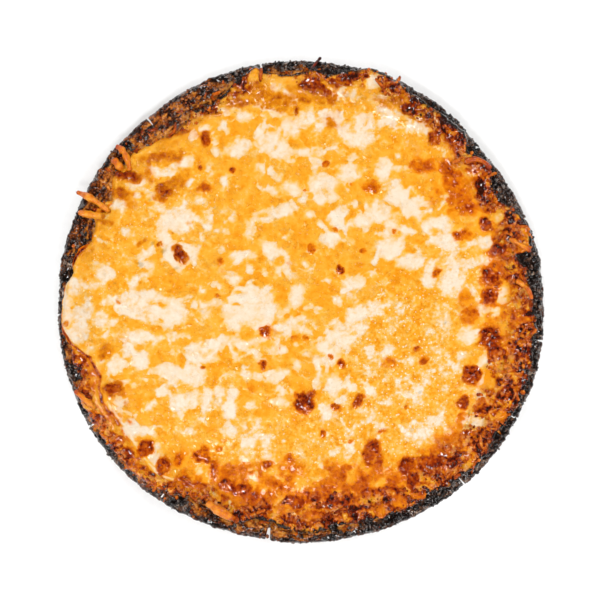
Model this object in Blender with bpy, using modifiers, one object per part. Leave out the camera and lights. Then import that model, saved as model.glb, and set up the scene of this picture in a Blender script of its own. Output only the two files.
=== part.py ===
"""A ten-inch pan-baked cheese pizza: a dough crust with a charred rim, and the melted cheese lying in it.

Metres, +Z up. The origin is the middle of the flat underside. Seen from above, +X is right and +Y is up.
"""

import math

import bmesh
import bpy
from mathutils import Matrix, Vector, noise

MM = 0.001

# Driving sizes of the crust, baked in a round pan whose wall leans out.
PAN_RADIUS = 127.0 * MM
BASE_RADIUS = 119.5 * MM
FLOOR_RADIUS = 104.0 * MM
FLOOR_HEIGHT = 5.0 * MM
RIM_HEIGHT = 12.8 * MM
CREST_SHARE = 0.82  # of the way from the floor's edge to the outline
SHOULDER_DROP = 0.30  # of the rim's rise, lost again between its crest and the outline
FOOT_HEIGHT = 1.6 * MM  # of the small round foot below the outer wall
FOOT_STEP = 1.0 * MM
RIM_STEPS = 184
INNER_RINGS = 6
SHOULDER_RINGS = 3
WALL_RINGS = 3

# Driving sizes of the cheese.
FIT_GAP = 0.3 * MM
RIM_GAP = 0.2 * MM  # added to the gap where the rim curves
CHEESE_THICKNESS = 3.2 * MM
EDGE_THICKNESS = 1.1 * MM
CHEESE_CELLS = 50
EDGE_CROWDING = 0.25  # how much closer the cells lie near the edge
CRISP_START = 0.86  # of the cheese's radius, where the melted pool turns to fried crags

# Depth and grain of the uneven surfaces.
CHAR_DEPTH = 1.3 * MM
CHAR_GRAIN = 5.5 * MM
CRISP_DEPTH = 1.8 * MM
CRISP_GRAIN = 7.0 * MM
POOL_WAVE = 0.7 * MM
POOL_GRAIN = 22.0 * MM
SCALLOP_DEPTH = 1.0 * MM
SCALLOP_GRAIN = 9.0 * MM

# The outline's radius every 20 degrees from +X, anticlockwise.
OUTLINE = [
    radius * MM
    for radius in (
        126.7, 125.4, 123.8, 125.8, 126.0, 126.3, 125.9, 126.3, 126.7,
        127.3, 128.2, 128.5, 127.4, 126.4, 126.6, 127.8, 128.7, 128.4,
    )
]

# The radius where the cheese stops and the bare rim shows, every 10 degrees from +X, anticlockwise.
CHEESE_EDGE = [
    radius * MM
    for radius in (
        120.0, 116.8, 122.4, 116.6, 118.0, 120.8, 121.0, 123.6, 120.2,
        118.7, 121.2, 115.5, 113.6, 110.8, 116.4, 113.4, 114.4, 119.8,
        123.2, 122.3, 121.8, 124.2, 123.4, 122.2, 116.8, 118.0, 115.2,
        118.8, 117.6, 119.4, 121.0, 122.4, 123.9, 123.0, 123.4, 122.0,
    )
]

# Cracks through the rim: angle in degrees, radius of the inner end and width at the outline, in millimetres.
CRACKS = [
    (41.3, 120.6, 2.2),
    (99.6, 121.8, 1.6),
    (130.3, 119.4, 1.4),
    (183.2, 123.6, 1.5),
    (210.4, 123.8, 1.8),
    (234.5, 119.6, 1.3),
    (262.0, 117.0, 2.8),
    (331.2, 124.2, 1.5),
]
CRACK_FLOOR = 2.0 * MM
CRACK_TAPER = 0.35  # width at the inner end over the width at the outline

# Browned blisters: x, y, length and width in millimetres, turn in degrees, height in millimetres.
BLISTERS = [
    (1.6, -53.4, 13.0, 10.0, 20, 1.5),
    (30.1, -52.5, 9.0, 6.5, 40, 1.0),
    (37.4, -80.7, 16.0, 10.0, 100, 1.7),
    (-50.4, -83.0, 13.0, 9.0, 120, 1.2),
    (-81.4, -76.0, 9.0, 8.5, 60, 1.4),
    (-71.5, -86.0, 11.0, 8.0, 140, 1.2),
    (-97.3, -45.2, 11.0, 8.5, 10, 1.4),
    (-101.3, -26.2, 11.0, 9.5, 60, 1.1),
    (-62.9, 23.2, 9.0, 7.0, 120, 0.9),
    (-48.9, 85.0, 8.5, 7.5, 90, 1.2),
    (-90.7, 65.7, 11.0, 7.5, 160, 1.1),
    (36.4, 59.8, 12.0, 8.0, 20, 0.9),
    (84.9, 34.9, 11.0, 7.5, 0, 1.2),
    (98.9, 7.5, 16.0, 9.5, 95, 1.3),
    (100.4, -22.0, 18.0, 12.0, 100, 1.8),
    (89.6, -38.8, 11.0, 11.0, 0, 1.7),
    (106.0, -48.5, 13.0, 10.0, 60, 1.5),
    (80.9, 85.6, 16.0, 12.0, 130, 2.1),
    (59.7, 100.2, 15.0, 8.5, 150, 1.5),
    (48.4, 110.9, 13.0, 9.0, 150, 1.8),
    (95.5, 53.5, 15.0, 9.0, 115, 1.5),
    (102.9, 26.3, 12.0, 10.0, 90, 1.5),
    (15.0, 114.4, 22.0, 8.5, 8, 1.6),
    (-29.4, 108.0, 14.0, 8.0, 25, 1.3),
    (96.9, -56.8, 13.0, 8.5, 30, 1.4),
    (86.3, -71.4, 14.0, 10.5, 80, 1.6),
    (76.0, -83.3, 16.0, 10.0, 165, 2.1),
    (57.0, -90.0, 17.0, 10.0, 110, 1.7),
    (41.0, -99.5, 16.0, 8.0, 10, 1.5),
    (10.0, -104.0, 26.0, 9.0, 0, 1.7),
    (-29.4, -99.9, 19.0, 8.5, 162, 1.7),
]

# Melted shreds lying out over the rim: thickness, and the points they pass from the cheese outwards, in
# millimetres.
SHREDS = [
    (1.9, [(-101.0, 48.4), (-108.8, 53.2), (-116.4, 56.8)]),
    (2.4, [(-103.4, 44.4), (-109.6, 45.2), (-115.4, 46.2)]),
    (1.9, [(-86.6, 66.4), (-91.4, 76.0), (-95.8, 80.4)]),
    (2.2, [(-88.4, 62.6), (-93.6, 69.0), (-97.2, 73.2)]),
    (2.2, [(-106.6, -55.4), (-111.6, -50.8), (-116.4, -46.6)]),
    (3.2, [(-49.6, -103.4), (-41.0, -109.0), (-31.6, -113.6)]),
    (2.8, [(86.0, 73.0), (92.4, 73.4), (98.0, 69.2)]),
    (2.6, [(108.4, 32.6), (114.4, 29.0), (118.6, 26.2)]),
    (2.8, [(112.4, 10.6), (117.0, 7.0), (119.4, 1.6)]),
]
SHRED_POINTS = 5
SHRED_SINK = 0.3  # of its thickness, melted into the cheese
SHRED_TIP = 0.6  # thickness at the ends over the thickness in the middle

CRUST_COLOR = (0.06, 0.028, 0.014, 1.0)
CHEESE_COLOR = (0.90, 0.42, 0.08, 1.0)


def around(values, angle):
    """A smooth closed curve through evenly spaced values (Catmull-Rom), read at an angle in radians."""
    place = (angle / math.tau % 1.0) * len(values)
    first = int(place)
    t = place - first
    a, b, c, d = (values[(first + k) % len(values)] for k in (-1, 0, 1, 2))
    return b + 0.5 * t * (c - a + t * (2 * a - 5 * b + 4 * c - d + t * (3 * (b - c) + d - a)))


def smoothstep(low, high, value):
    t = min(max((value - low) / (high - low), 0.0), 1.0)
    return t * t * (3 - 2 * t)


def crags(x, y, z, grain, seed):
    """Uneven lumps at a point, from 0 to 1."""
    place = Vector((x / grain + seed, y / grain, z / grain))
    return min(max(0.5 + 0.62 * noise.fractal(place, 0.8, 2.1, 3), 0.0), 1.0)


def polar(radius, angle, height):
    return Vector((radius * math.cos(angle), radius * math.sin(angle), height))


def outline(angle):
    return around(OUTLINE, angle)


def rim_height(angle):
    """The crest's height round the pizza: the dough rose unevenly in its pan."""
    swell = 0.7 * math.sin(2 * angle + 0.7) + 0.4 * math.sin(3 * angle + 2.1) + 0.3 * math.sin(7 * angle)
    return RIM_HEIGHT + swell * MM


def rim_share(u):
    """How much of its rise the rim has at u, from 0 at the floor's edge to 1 at the outline."""
    if u <= CREST_SHARE:
        return smoothstep(0.0, CREST_SHARE, u)
    return 1.0 - SHOULDER_DROP * ((u - CREST_SHARE) / (1.0 - CREST_SHARE)) ** 2


def crust_top(radius, angle):
    """The height of the dough's upper side before crags are sunk into it."""
    u = min(max((radius - FLOOR_RADIUS) / (outline(angle) - FLOOR_RADIUS), 0.0), 1.0)
    return FLOOR_HEIGHT + (rim_height(angle) - FLOOR_HEIGHT) * rim_share(u)


def cheese_edge(angle):
    """The radius where the cheese stops, with its small scallops."""
    scallop = noise.noise(polar(PAN_RADIUS / SCALLOP_GRAIN, angle, 5.0))
    return around(CHEESE_EDGE, angle) + SCALLOP_DEPTH * scallop


def cheese_underside(radius, angle):
    gap = FIT_GAP + RIM_GAP * smoothstep(FLOOR_RADIUS, FLOOR_RADIUS + 4 * MM, radius)
    return crust_top(radius, angle) + gap


def blister_height(x, y):
    """What the browned blisters add to the cheese's height at a point."""
    height = 0.0
    for blister_x, blister_y, length, width, turn, rise in BLISTERS:
        away = Vector((x / MM - blister_x, y / MM - blister_y))
        away.rotate(Matrix.Rotation(-math.radians(turn), 2))
        reach = math.hypot(2 * away.x / length, 2 * away.y / width)
        height += rise * MM * (1 - smoothstep(0.25, 1.25, reach))
    return height


def cheese_top(radius, angle):
    """The height of the cheese: a gently waved pool that wrinkles into fried crags near its edge."""
    x, y, _ = polar(radius, angle, 0.0)
    share = radius / cheese_edge(angle)
    thickness = CHEESE_THICKNESS + (EDGE_THICKNESS - CHEESE_THICKNESS) * smoothstep(CRISP_START, 1.0, share)
    crisp = smoothstep(CRISP_START - 0.06, CRISP_START + 0.06, share) * crags(x, y, 0.0, CRISP_GRAIN, 3.0)
    wave = crags(x, y, 0.0, POOL_GRAIN, 9.0) - 0.5
    blister = blister_height(x, y) * (1 - 0.5 * smoothstep(0.94, 1.0, share))
    return cheese_underside(radius, angle) + thickness + CRISP_DEPTH * crisp + POOL_WAVE * wave + blister


def clear_scene():
    for obj in list(bpy.data.objects):
        bpy.data.objects.remove(obj, do_unlink=True)


def add_collection(name):
    collection = bpy.data.collections.new(name)
    bpy.context.scene.collection.children.link(collection)
    return collection


def add_object(name, data, collection):
    obj = bpy.data.objects.new(name, data)
    collection.objects.link(obj)
    return obj


def mesh_from(bm, name):
    """A mesh with its doubles merged and its faces pointing out."""
    bmesh.ops.remove_doubles(bm, verts=bm.verts, dist=0.01 * MM)
    bmesh.ops.recalc_face_normals(bm, faces=bm.faces)
    mesh = bpy.data.meshes.new(name)
    bm.to_mesh(mesh)
    bm.free()
    return mesh


def evaluated_mesh(obj):
    """The object as its modifiers or its bevel make it, as a mesh of its own."""
    bpy.context.view_layer.update()
    graph = bpy.context.evaluated_depsgraph_get()
    return bpy.data.meshes.new_from_object(obj.evaluated_get(graph))


def welded_mesh(obj):
    """The same with its seams and its loose caps welded."""
    bm = bmesh.new()
    bm.from_mesh(evaluated_mesh(obj))
    return mesh_from(bm, obj.name)


def dress(obj, name, color, roughness):
    """Gives an object its material, and smooth shading with its sharp edges kept."""
    material = bpy.data.materials.new(name)
    material.use_nodes = True
    shader = material.node_tree.nodes["Principled BSDF"]
    shader.inputs["Base Color"].default_value = color
    shader.inputs["Roughness"].default_value = roughness
    shader.inputs["Metallic"].default_value = 0.0
    obj.data.materials.clear()
    obj.data.materials.append(material)
    obj.data.shade_smooth()
    obj.data.set_sharp_from_angle(angle=math.radians(50))


def upper_profile():
    """Points (radius, height) of the dough from its middle over the floor and the rim to the outline."""
    reach = PAN_RADIUS - FLOOR_RADIUS
    inner = [CREST_SHARE * i / INNER_RINGS for i in range(INNER_RINGS + 1)]
    shoulder = [CREST_SHARE + (1 - CREST_SHARE) * i / SHOULDER_RINGS for i in range(1, SHOULDER_RINGS + 1)]
    rise = RIM_HEIGHT - FLOOR_HEIGHT
    rim = [(FLOOR_RADIUS + reach * u, FLOOR_HEIGHT + rise * rim_share(u)) for u in inner + shoulder]
    return [(0.0, FLOOR_HEIGHT)] + rim


def lower_profile(top):
    """Points down the outer wall, round the foot and back to the middle of the underside."""
    foot = BASE_RADIUS + FOOT_STEP
    shares = [i / WALL_RINGS for i in range(1, WALL_RINGS + 1)]
    wall = [(PAN_RADIUS + (foot - PAN_RADIUS) * t, top + (FOOT_HEIGHT - top) * t) for t in shares]
    return wall + [(BASE_RADIUS, 0.0), (0.0, 0.0)]


def fit_to_outline(radius, angle):
    """Spreads the rim of the round profile to the uneven outline. The floor stays round."""
    share = (radius - FLOOR_RADIUS) / (PAN_RADIUS - FLOOR_RADIUS)
    return FLOOR_RADIUS + share * (outline(angle) - FLOOR_RADIUS)


def upper_vertex(radius, angle):
    """A point of the dough's upper side: charred crags are sunk into it where no cheese covers it."""
    fitted = fit_to_outline(radius, angle)
    height = crust_top(fitted, angle)
    edge = cheese_edge(angle)
    depth = CHAR_DEPTH * crags(*polar(fitted, angle, height), CHAR_GRAIN, 0.0)
    bare = smoothstep(edge + 0.4 * MM, edge + 2.4 * MM, fitted)
    at_outline = smoothstep(0.9, 1.0, radius / PAN_RADIUS)
    return polar(fitted - 0.7 * depth * bare * at_outline, angle, height - depth * bare)


def wall_vertex(radius, height, angle):
    """A point of the outer wall, pitted where the pan fried it."""
    fitted = fit_to_outline(radius, angle)
    raised = height * rim_height(angle) / RIM_HEIGHT
    pit = 0.7 * CHAR_DEPTH * crags(*polar(fitted, angle, raised), CHAR_GRAIN, 0.0)
    return polar(fitted - pit, angle, raised)


def make_crust(collection):
    """The dough: a turned dish, fitted to the uneven outline and pitted at its rim."""
    top = upper_profile()
    points = top + lower_profile(top[-1][1])
    profile = bpy.data.meshes.new("crust_profile")
    profile.from_pydata([(x, 0.0, z) for x, z in points], [(i, i + 1) for i in range(len(points) - 1)], [])
    turned = add_object("crust_profile", profile, collection)
    screw = turned.modifiers.new("Turn", "SCREW")
    screw.steps = RIM_STEPS
    screw.render_steps = RIM_STEPS
    screw.use_merge_vertices = True
    screw.merge_threshold = 0.01 * MM
    mesh = welded_mesh(turned)
    bpy.data.objects.remove(turned, do_unlink=True)
    mesh.name = "crust"
    for vertex in mesh.vertices:
        x, y, height = vertex.co
        radius = math.hypot(x, y)
        angle = math.atan2(y, x)
        if radius < FLOOR_RADIUS + 0.1 * MM:
            continue
        if any(abs(radius - r) + abs(height - z) < 0.05 * MM for r, z in top):
            vertex.co = upper_vertex(radius, angle)
        elif height > 0.1 * MM:
            vertex.co = wall_vertex(radius, height, angle)
        else:
            vertex.co = polar(fit_to_outline(radius, angle), angle, 0.0)
    return add_object("crust", mesh, collection)


def cut_cracks(crust, collection):
    """Cuts a wedge that narrows inwards for each crack in the rim."""
    for i, (degrees, inner, width) in enumerate(CRACKS):
        bm = bmesh.new()
        bmesh.ops.create_cube(bm, size=1.0)
        for vertex in bm.verts:
            outside = vertex.co.x > 0
            vertex.co.x = PAN_RADIUS + 6 * MM if outside else inner * MM
            vertex.co.y *= width * MM * (1.0 if outside else CRACK_TAPER)
            vertex.co.z = RIM_HEIGHT + 12 * MM if vertex.co.z > 0 else CRACK_FLOOR
        cutter = add_object(f"crack_{i}", mesh_from(bm, f"crack_{i}"), collection)
        cutter.rotation_euler.z = math.radians(degrees)
        cutter.display_type = "WIRE"
        cutter.hide_render = True
    collection.hide_render = True
    cut = crust.modifiers.new("Cracks", "BOOLEAN")
    cut.operation = "DIFFERENCE"
    cut.operand_type = "COLLECTION"
    cut.collection = collection
    cut.solver = "EXACT"


def disc_place(u, v):
    """Bends a square of side 2 into a round disc: (share of the radius, angle), with squares made rings."""
    if abs(u) >= abs(v):
        share, angle = u, math.pi / 4 * (v / u if u else 0.0)
    else:
        share, angle = v, math.pi / 2 - math.pi / 4 * u / v
    return abs(share), angle + (math.pi if share < 0 else 0.0)


def make_cheese(collection):
    """The melted cheese: a grid bent into a disc that follows the dough below and is uneven on top."""
    bm = bmesh.new()
    bmesh.ops.create_grid(bm, x_segments=CHEESE_CELLS, y_segments=CHEESE_CELLS, size=1.0)
    lifted = bmesh.ops.extrude_face_region(bm, geom=list(bm.faces))["geom"]
    upper = {item for item in lifted if isinstance(item, bmesh.types.BMVert)}
    for vertex in bm.verts:
        share, angle = disc_place(vertex.co.x, vertex.co.y)
        radius = cheese_edge(angle) * share * (1 + EDGE_CROWDING * (1 - share))
        height = cheese_top(radius, angle) if vertex in upper else cheese_underside(radius, angle)
        vertex.co = polar(radius, angle, height)
    return add_object("cheese", mesh_from(bm, "cheese"), collection)


def shred_height(x, y, thickness):
    """How high a shred's middle lies: sunk into the cheese, or just above the bare rim."""
    radius, angle = math.hypot(x, y), math.atan2(y, x)
    on_rim = crust_top(radius, angle) + FIT_GAP + 0.5 * thickness
    if radius > cheese_edge(angle):
        return on_rim
    return max(on_rim, cheese_top(radius, angle) + (0.5 - SHRED_SINK) * thickness)


def along(points, t):
    """A point at a share t of the smooth curve (quadratic) through three points."""
    weights = (2 * t - 1) * (t - 1), 4 * t * (1 - t), t * (2 * t - 1)
    return tuple(sum(w * p[axis] for w, p in zip(weights, points)) * MM for axis in (0, 1))


def make_shred(name, thickness, points, collection):
    """One melted shred as a round bar that thins at both ends."""
    curve = bpy.data.curves.new(name, "CURVE")
    curve.dimensions = "3D"
    curve.bevel_depth = 0.5 * thickness * MM
    curve.bevel_resolution = 1
    curve.use_fill_caps = True
    spline = curve.splines.new("POLY")
    spline.points.add(SHRED_POINTS - 1)
    for i, point in enumerate(spline.points):
        t = i / (SHRED_POINTS - 1)
        x, y = along(points, t)
        point.co = (x, y, shred_height(x, y, thickness * MM), 1.0)
        point.radius = SHRED_TIP + (1 - SHRED_TIP) * math.sin(math.pi * t) ** 0.5
    bar = add_object(name, curve, collection)
    shred = add_object(name + "_solid", welded_mesh(bar), collection)
    shred.matrix_world = bar.matrix_world
    bpy.data.objects.remove(bar, do_unlink=True)


def fuse_shreds(cheese, collection):
    """Joins the shreds to the cheese as one solid."""
    for i, (thickness, points) in enumerate(SHREDS):
        make_shred(f"shred_{i}", thickness, points, collection)
    union = cheese.modifiers.new("Shreds", "BOOLEAN")
    union.operation = "UNION"
    union.operand_type = "COLLECTION"
    union.collection = collection
    union.solver = "EXACT"
    fused = evaluated_mesh(cheese)
    cheese.modifiers.remove(union)
    cheese.data = fused
    for shred in list(collection.objects):
        bpy.data.objects.remove(shred, do_unlink=True)
    bpy.data.collections.remove(collection)


def main():
    clear_scene()
    pizza = add_collection("pizza")
    crust = make_crust(pizza)
    cut_cracks(crust, add_collection("cutters"))
    cheese = make_cheese(pizza)
    fuse_shreds(cheese, add_collection("shreds"))
    dress(crust, "baked_dough", CRUST_COLOR, 0.85)
    dress(cheese, "melted_cheese", CHEESE_COLOR, 0.45)


main()
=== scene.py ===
import math

import bpy
import numpy as np
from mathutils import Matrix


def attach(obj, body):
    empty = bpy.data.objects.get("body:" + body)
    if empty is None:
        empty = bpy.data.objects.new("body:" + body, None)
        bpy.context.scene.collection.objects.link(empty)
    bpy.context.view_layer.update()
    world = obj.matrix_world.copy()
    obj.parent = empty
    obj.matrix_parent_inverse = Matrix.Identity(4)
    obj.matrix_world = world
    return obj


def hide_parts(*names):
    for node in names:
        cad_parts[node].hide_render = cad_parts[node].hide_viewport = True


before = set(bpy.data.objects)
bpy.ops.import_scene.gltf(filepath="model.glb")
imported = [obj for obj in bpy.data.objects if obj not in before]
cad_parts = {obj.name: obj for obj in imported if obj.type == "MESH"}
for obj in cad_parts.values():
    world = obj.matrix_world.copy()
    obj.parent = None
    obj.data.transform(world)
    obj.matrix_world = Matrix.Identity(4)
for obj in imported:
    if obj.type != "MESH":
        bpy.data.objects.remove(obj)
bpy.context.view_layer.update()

mm = 0.001               # shapes are worked out in millimetres and stored in metres

# The photograph looks straight down: its pixel in millimetres, and the pixel of the pizza's middle.
photo = {"pixel": 0.5205, "middle": (301.0, 301.5), "width": 600}


def fromPhoto(x, y):
    # photograph pixels to millimetres from the pizza's middle, with Y upwards
    return (x - photo["middle"][0]) * photo["pixel"], (photo["middle"][1] - y) * photo["pixel"]


def smooth(low, high, value):
    # an S-curve from 0 at low to 1 at high
    t = np.clip((value - low) / (high - low), 0.0, 1.0)
    return t * t * (3 - 2 * t)


def around(values, angle):
    # smooth closed curve (Catmull-Rom) through evenly spaced values, read at angles in radians
    values = np.asarray(values, float)
    place = (angle / math.tau % 1.0) * len(values)
    first = np.floor(place).astype(int)
    t = place - first
    a, b, c, d = (values[(first + k) % len(values)] for k in (-1, 0, 1, 2))
    return b + 0.5 * t * (c - a + t * (2 * a - 5 * b + 4 * c - d + t * (3 * (b - c) + d - a)))


def betweenMarks(marks, angle):
    # straight from one (degrees, value) mark to the next, round the pizza
    degrees, values = np.array(marks, float).T
    return np.interp(np.degrees(angle) % 360, degrees, values, period=360)


def stretch(degrees, start, full, falling, end):
    # 1 between full and falling, easing to 0 at start and at end
    return smooth(start, full, degrees) * (1 - smooth(falling, end, degrees))


def scrambled(ix, iy, iz, seed):
    # an even random number from 0 to 1 for every whole-numbered place, whose bits are mixed with large odd
    # numbers
    ix, iy, iz = (np.asarray(i).astype(np.int64).astype(np.uint32) for i in (ix, iy, iz))
    mixed = ix * np.uint32(374761393) + iy * np.uint32(668265263) + iz * np.uint32(2246822519)
    mixed = mixed + np.uint32(seed * 326648991 % 4294967296)
    mixed = (mixed ^ (mixed >> np.uint32(13))) * np.uint32(1274126177)
    mixed = (mixed ^ (mixed >> np.uint32(15))) * np.uint32(2654435761)
    return (mixed ^ (mixed >> np.uint32(16))) / 4294967295.0


def lumps(x, y, z=0.0, grain=5.0, seed=0, octaves=3):
    # smooth random hills, about -1 to 1: random heights on a lattice of that grain, eased between its
    # places, with each octave half as large and half as high
    total, weight, size = 0.0, 0.0, 1.0
    z = z + np.zeros_like(x)
    for octave in range(octaves):      # each is shifted, so that their lattices don't meet
        places = [np.asarray(v) / (grain * size) + 17.3 * octave for v in (x, y, z)]
        whole = [np.floor(v) for v in places]
        ease = [(v - w) ** 3 * ((v - w) * ((v - w) * 6 - 15) + 10) for v, w in zip(places, whole)]
        value = 0.0
        for dx in (0, 1):
            for dy in (0, 1):
                for dz in (0, 1):
                    share = [e if d else 1 - e for e, d in zip(ease, (dx, dy, dz))]
                    corner = scrambled(whole[0] + dx, whole[1] + dy, whole[2] + dz, seed + octave)
                    value = value + share[0] * share[1] * share[2] * corner
        total = total + size * (2 * value - 1)
        weight += size
        size *= 0.5
    return 1.7 * total / weight


def cells(x, y, z=None, grain=5.0, seed=0):
    # irregular cells round scattered points: the distances to the nearest and the second nearest point, in
    # grains, and the nearest cell's own random number
    deep = z is not None
    third = np.asarray(z) if deep else np.zeros_like(x)
    places = [np.asarray(x) / grain, np.asarray(y) / grain, third / grain]
    whole = [np.floor(v) for v in places]
    near = np.full(np.shape(x), 9.0)
    second, own = near.copy(), near * 0
    for dx in (-1, 0, 1):
        for dy in (-1, 0, 1):
            for dz in (-1, 0, 1) if deep else (0,):
                home = [w + d for w, d in zip(whole, (dx, dy, dz))]
                away = 0.0
                for axis in range(3 if deep else 2):      # the point keeps off the borders of its cell
                    point = home[axis] + 0.08 + 0.84 * scrambled(*home, seed + axis)
                    away = away + (places[axis] - point) ** 2
                away = np.sqrt(away)
                closer = away < near
                second = np.where(closer, near, np.minimum(second, away))
                own = np.where(closer, scrambled(*home, seed + 7), own)
                near = np.where(closer, away, near)
    return near, second, own


def ridges(x, y, z=0.0, grain=3.0, seed=0, octaves=2):
    # sharp-crested lumps from 0 to 1: hills folded at their middle height
    return 1 - np.abs(np.clip(lumps(x, y, z, grain, seed, octaves), -1, 1))


def reachOf(x, y, spot):
    # how far out of an ellipse (x, y, length, width, turn in degrees, in photograph pixels) each place is:
    # 0 in its middle and 1 on its border
    middleX, middleY = fromPhoto(spot[0], spot[1])
    turn = math.radians(spot[4])
    along = (x - middleX) * math.cos(turn) + (y - middleY) * math.sin(turn)
    across = (y - middleY) * math.cos(turn) - (x - middleX) * math.sin(turn)
    return np.hypot(2 * along / (spot[2] * photo["pixel"]), 2 * across / (spot[3] * photo["pixel"]))


class Socket:
    # an output of a node; sums and products of it add Math nodes
    def __init__(self, finish, link):
        self.finish, self.link = finish, link

    def math(self, operation, *values):
        return self.finish.node("ShaderNodeMath", {"operation": operation}, dict(enumerate(values)))

    def __add__(self, other):
        return self.math("ADD", self, other)

    def __sub__(self, other):
        return self.math("SUBTRACT", self, other)

    def __rsub__(self, other):
        return self.math("SUBTRACT", other, self)

    def __mul__(self, other):
        return self.math("MULTIPLY", self, other)

    __radd__, __rmul__ = __add__, __mul__

    def above(self, other):
        return self.math("MAXIMUM", self, other)

    def between(self, low, high):
        # 0 below low, 1 above high, an S-curve between them
        settings = {"interpolation_type": "SMOOTHSTEP"}
        sockets = {"Value": self, "From Min": low, "From Max": high}
        return self.finish.node("ShaderNodeMapRange", settings, sockets)


class Finish:
    # one material: its Principled shader, and the nodes that feed it
    def __init__(self, name, **fixed):
        self.material = bpy.data.materials.new(name)
        self.material.use_nodes = True
        self.tree = self.material.node_tree
        self.shader = self.tree.nodes["Principled BSDF"]
        for socket, value in fixed.items():
            self.shader.inputs[socket.replace("_", " ")].default_value = value
        self.place = self.node("ShaderNodeTexCoord", {}, {}, "Object")

    def node(self, kind, settings, sockets, output=0):
        made = self.tree.nodes.new(kind)
        for name, value in settings.items():
            if name == "stops":
                ramp = made.color_ramp.elements
                while len(ramp) < len(value):
                    ramp.new(1.0)
                for stop, (position, color) in zip(ramp, value):
                    stop.position, stop.color = position, color
            else:
                setattr(made, name, value)
        for name, value in sockets.items():
            if isinstance(value, Socket):
                self.tree.links.new(value.link, made.inputs[name])
            else:
                made.inputs[name].default_value = value
        return Socket(self, made.outputs[output])

    def vector(self, operation, sockets, output=0):
        return self.node("ShaderNodeVectorMath", {"operation": operation}, sockets, output)

    def field(self, name):
        # a number kept on the points of the piece
        return self.node("ShaderNodeAttribute", {"attribute_name": name}, {}, "Fac")

    def noise(self, grain, detail=2.0, distortion=0.0, place=None):
        # cloudy noise, about 0.3 to 0.7, whose lumps are that many millimetres
        sockets = {"Vector": place or self.place, "Scale": 1 / (grain * mm), "Detail": detail}
        return self.node("ShaderNodeTexNoise", {}, {**sockets, "Distortion": distortion})

    def roundPlace(self, radius, squeeze):
        # places in which noise stretches round the pizza: on a circle smaller by that squeeze, with the
        # distance from the middle plus the height as the third coordinate
        flat = self.vector("MULTIPLY", {0: self.place, 1: (1.0, 1.0, 0.0)})
        away = self.vector("LENGTH", {0: flat}, 1)
        height = self.node("ShaderNodeSeparateXYZ", {}, {0: self.place}, 2)
        circle = self.vector("SCALE", {0: self.vector("NORMALIZE", {0: flat}), 3: radius * mm / squeeze})
        third = self.node("ShaderNodeCombineXYZ", {}, {2: away + height})
        return self.vector("ADD", {0: circle, 1: third})

    def pores(self, grain, feature="F1", output="Distance"):
        # irregular cells (Voronoi) of that many millimetres
        sockets = {"Vector": self.place, "Scale": 1 / (grain * mm)}
        return self.node("ShaderNodeTexVoronoi", {"feature": feature}, sockets, output)

    def scraps(self, grain, channel=0):
        # an even random number from 0 to 1 for every cell
        return self.node("ShaderNodeSeparateColor", {}, {"Color": self.pores(grain, "F1", "Color")}, channel)

    def facets(self, grain):
        # every cell has a flat slope of its own, up to 1 in 2 each way: a height in millimetres
        away = self.vector("SUBTRACT", {0: self.place, 1: self.pores(grain, "F1", "Position")})
        lean = self.vector("SUBTRACT", {0: self.pores(grain, "F1", "Color"), 1: (0.5, 0.5, 0.5)})
        return self.vector("DOT_PRODUCT", {0: away, 1: lean}, 1) * (1 / mm)

    def mix(self, share, first, second):
        return self.node("ShaderNodeMix", {"data_type": "RGBA"}, {0: share, 6: first, 7: second}, 2)

    def ramp(self, value, stops):
        # each stop is its position and the colour that it shows as, 0 to 255
        stops = [(position, shown(*color)) for position, *color in stops]
        return self.node("ShaderNodeValToRGB", {"stops": stops}, {"Fac": value})

    def feed(self, socket, value):
        self.tree.links.new(value.link, self.shader.inputs[socket])

    def relief(self, height, depth):
        # bumps of that depth in millimetres where height goes from 0 to 1
        sockets = {"Height": height, "Strength": 1.0, "Distance": depth * mm}
        self.feed("Normal", self.node("ShaderNodeBump", {}, sockets))


lightLevel = 1.5           # how bright the studio light shows a white surface that faces up
brightestSurface = 0.93    # the share of light that the palest surface gives back


def shown(red, green, blue):
    # the surface colour that shows as this one (0 to 255, as on the screen) under the studio light
    linear = [((c / 255 + 0.055) / 1.055) ** 2.4 if c > 10 else c / 255 / 12.92 for c in (red, green, blue)]
    return tuple(min(c / lightLevel, brightestSurface) for c in linear) + (1.0,)


def ringFaces(rings, columns):
    # quads between rings of that many points each, closed all round; they face out where the rings run
    # from the middle of the top, out and down, to the underside
    ring, column = np.meshgrid(np.arange(rings - 1), np.arange(columns), indexing="ij")
    here = ring * columns + column
    beside = ring * columns + (column + 1) % columns
    return np.stack([here, here + columns, beside + columns, beside], -1).reshape(-1, 4)


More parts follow.
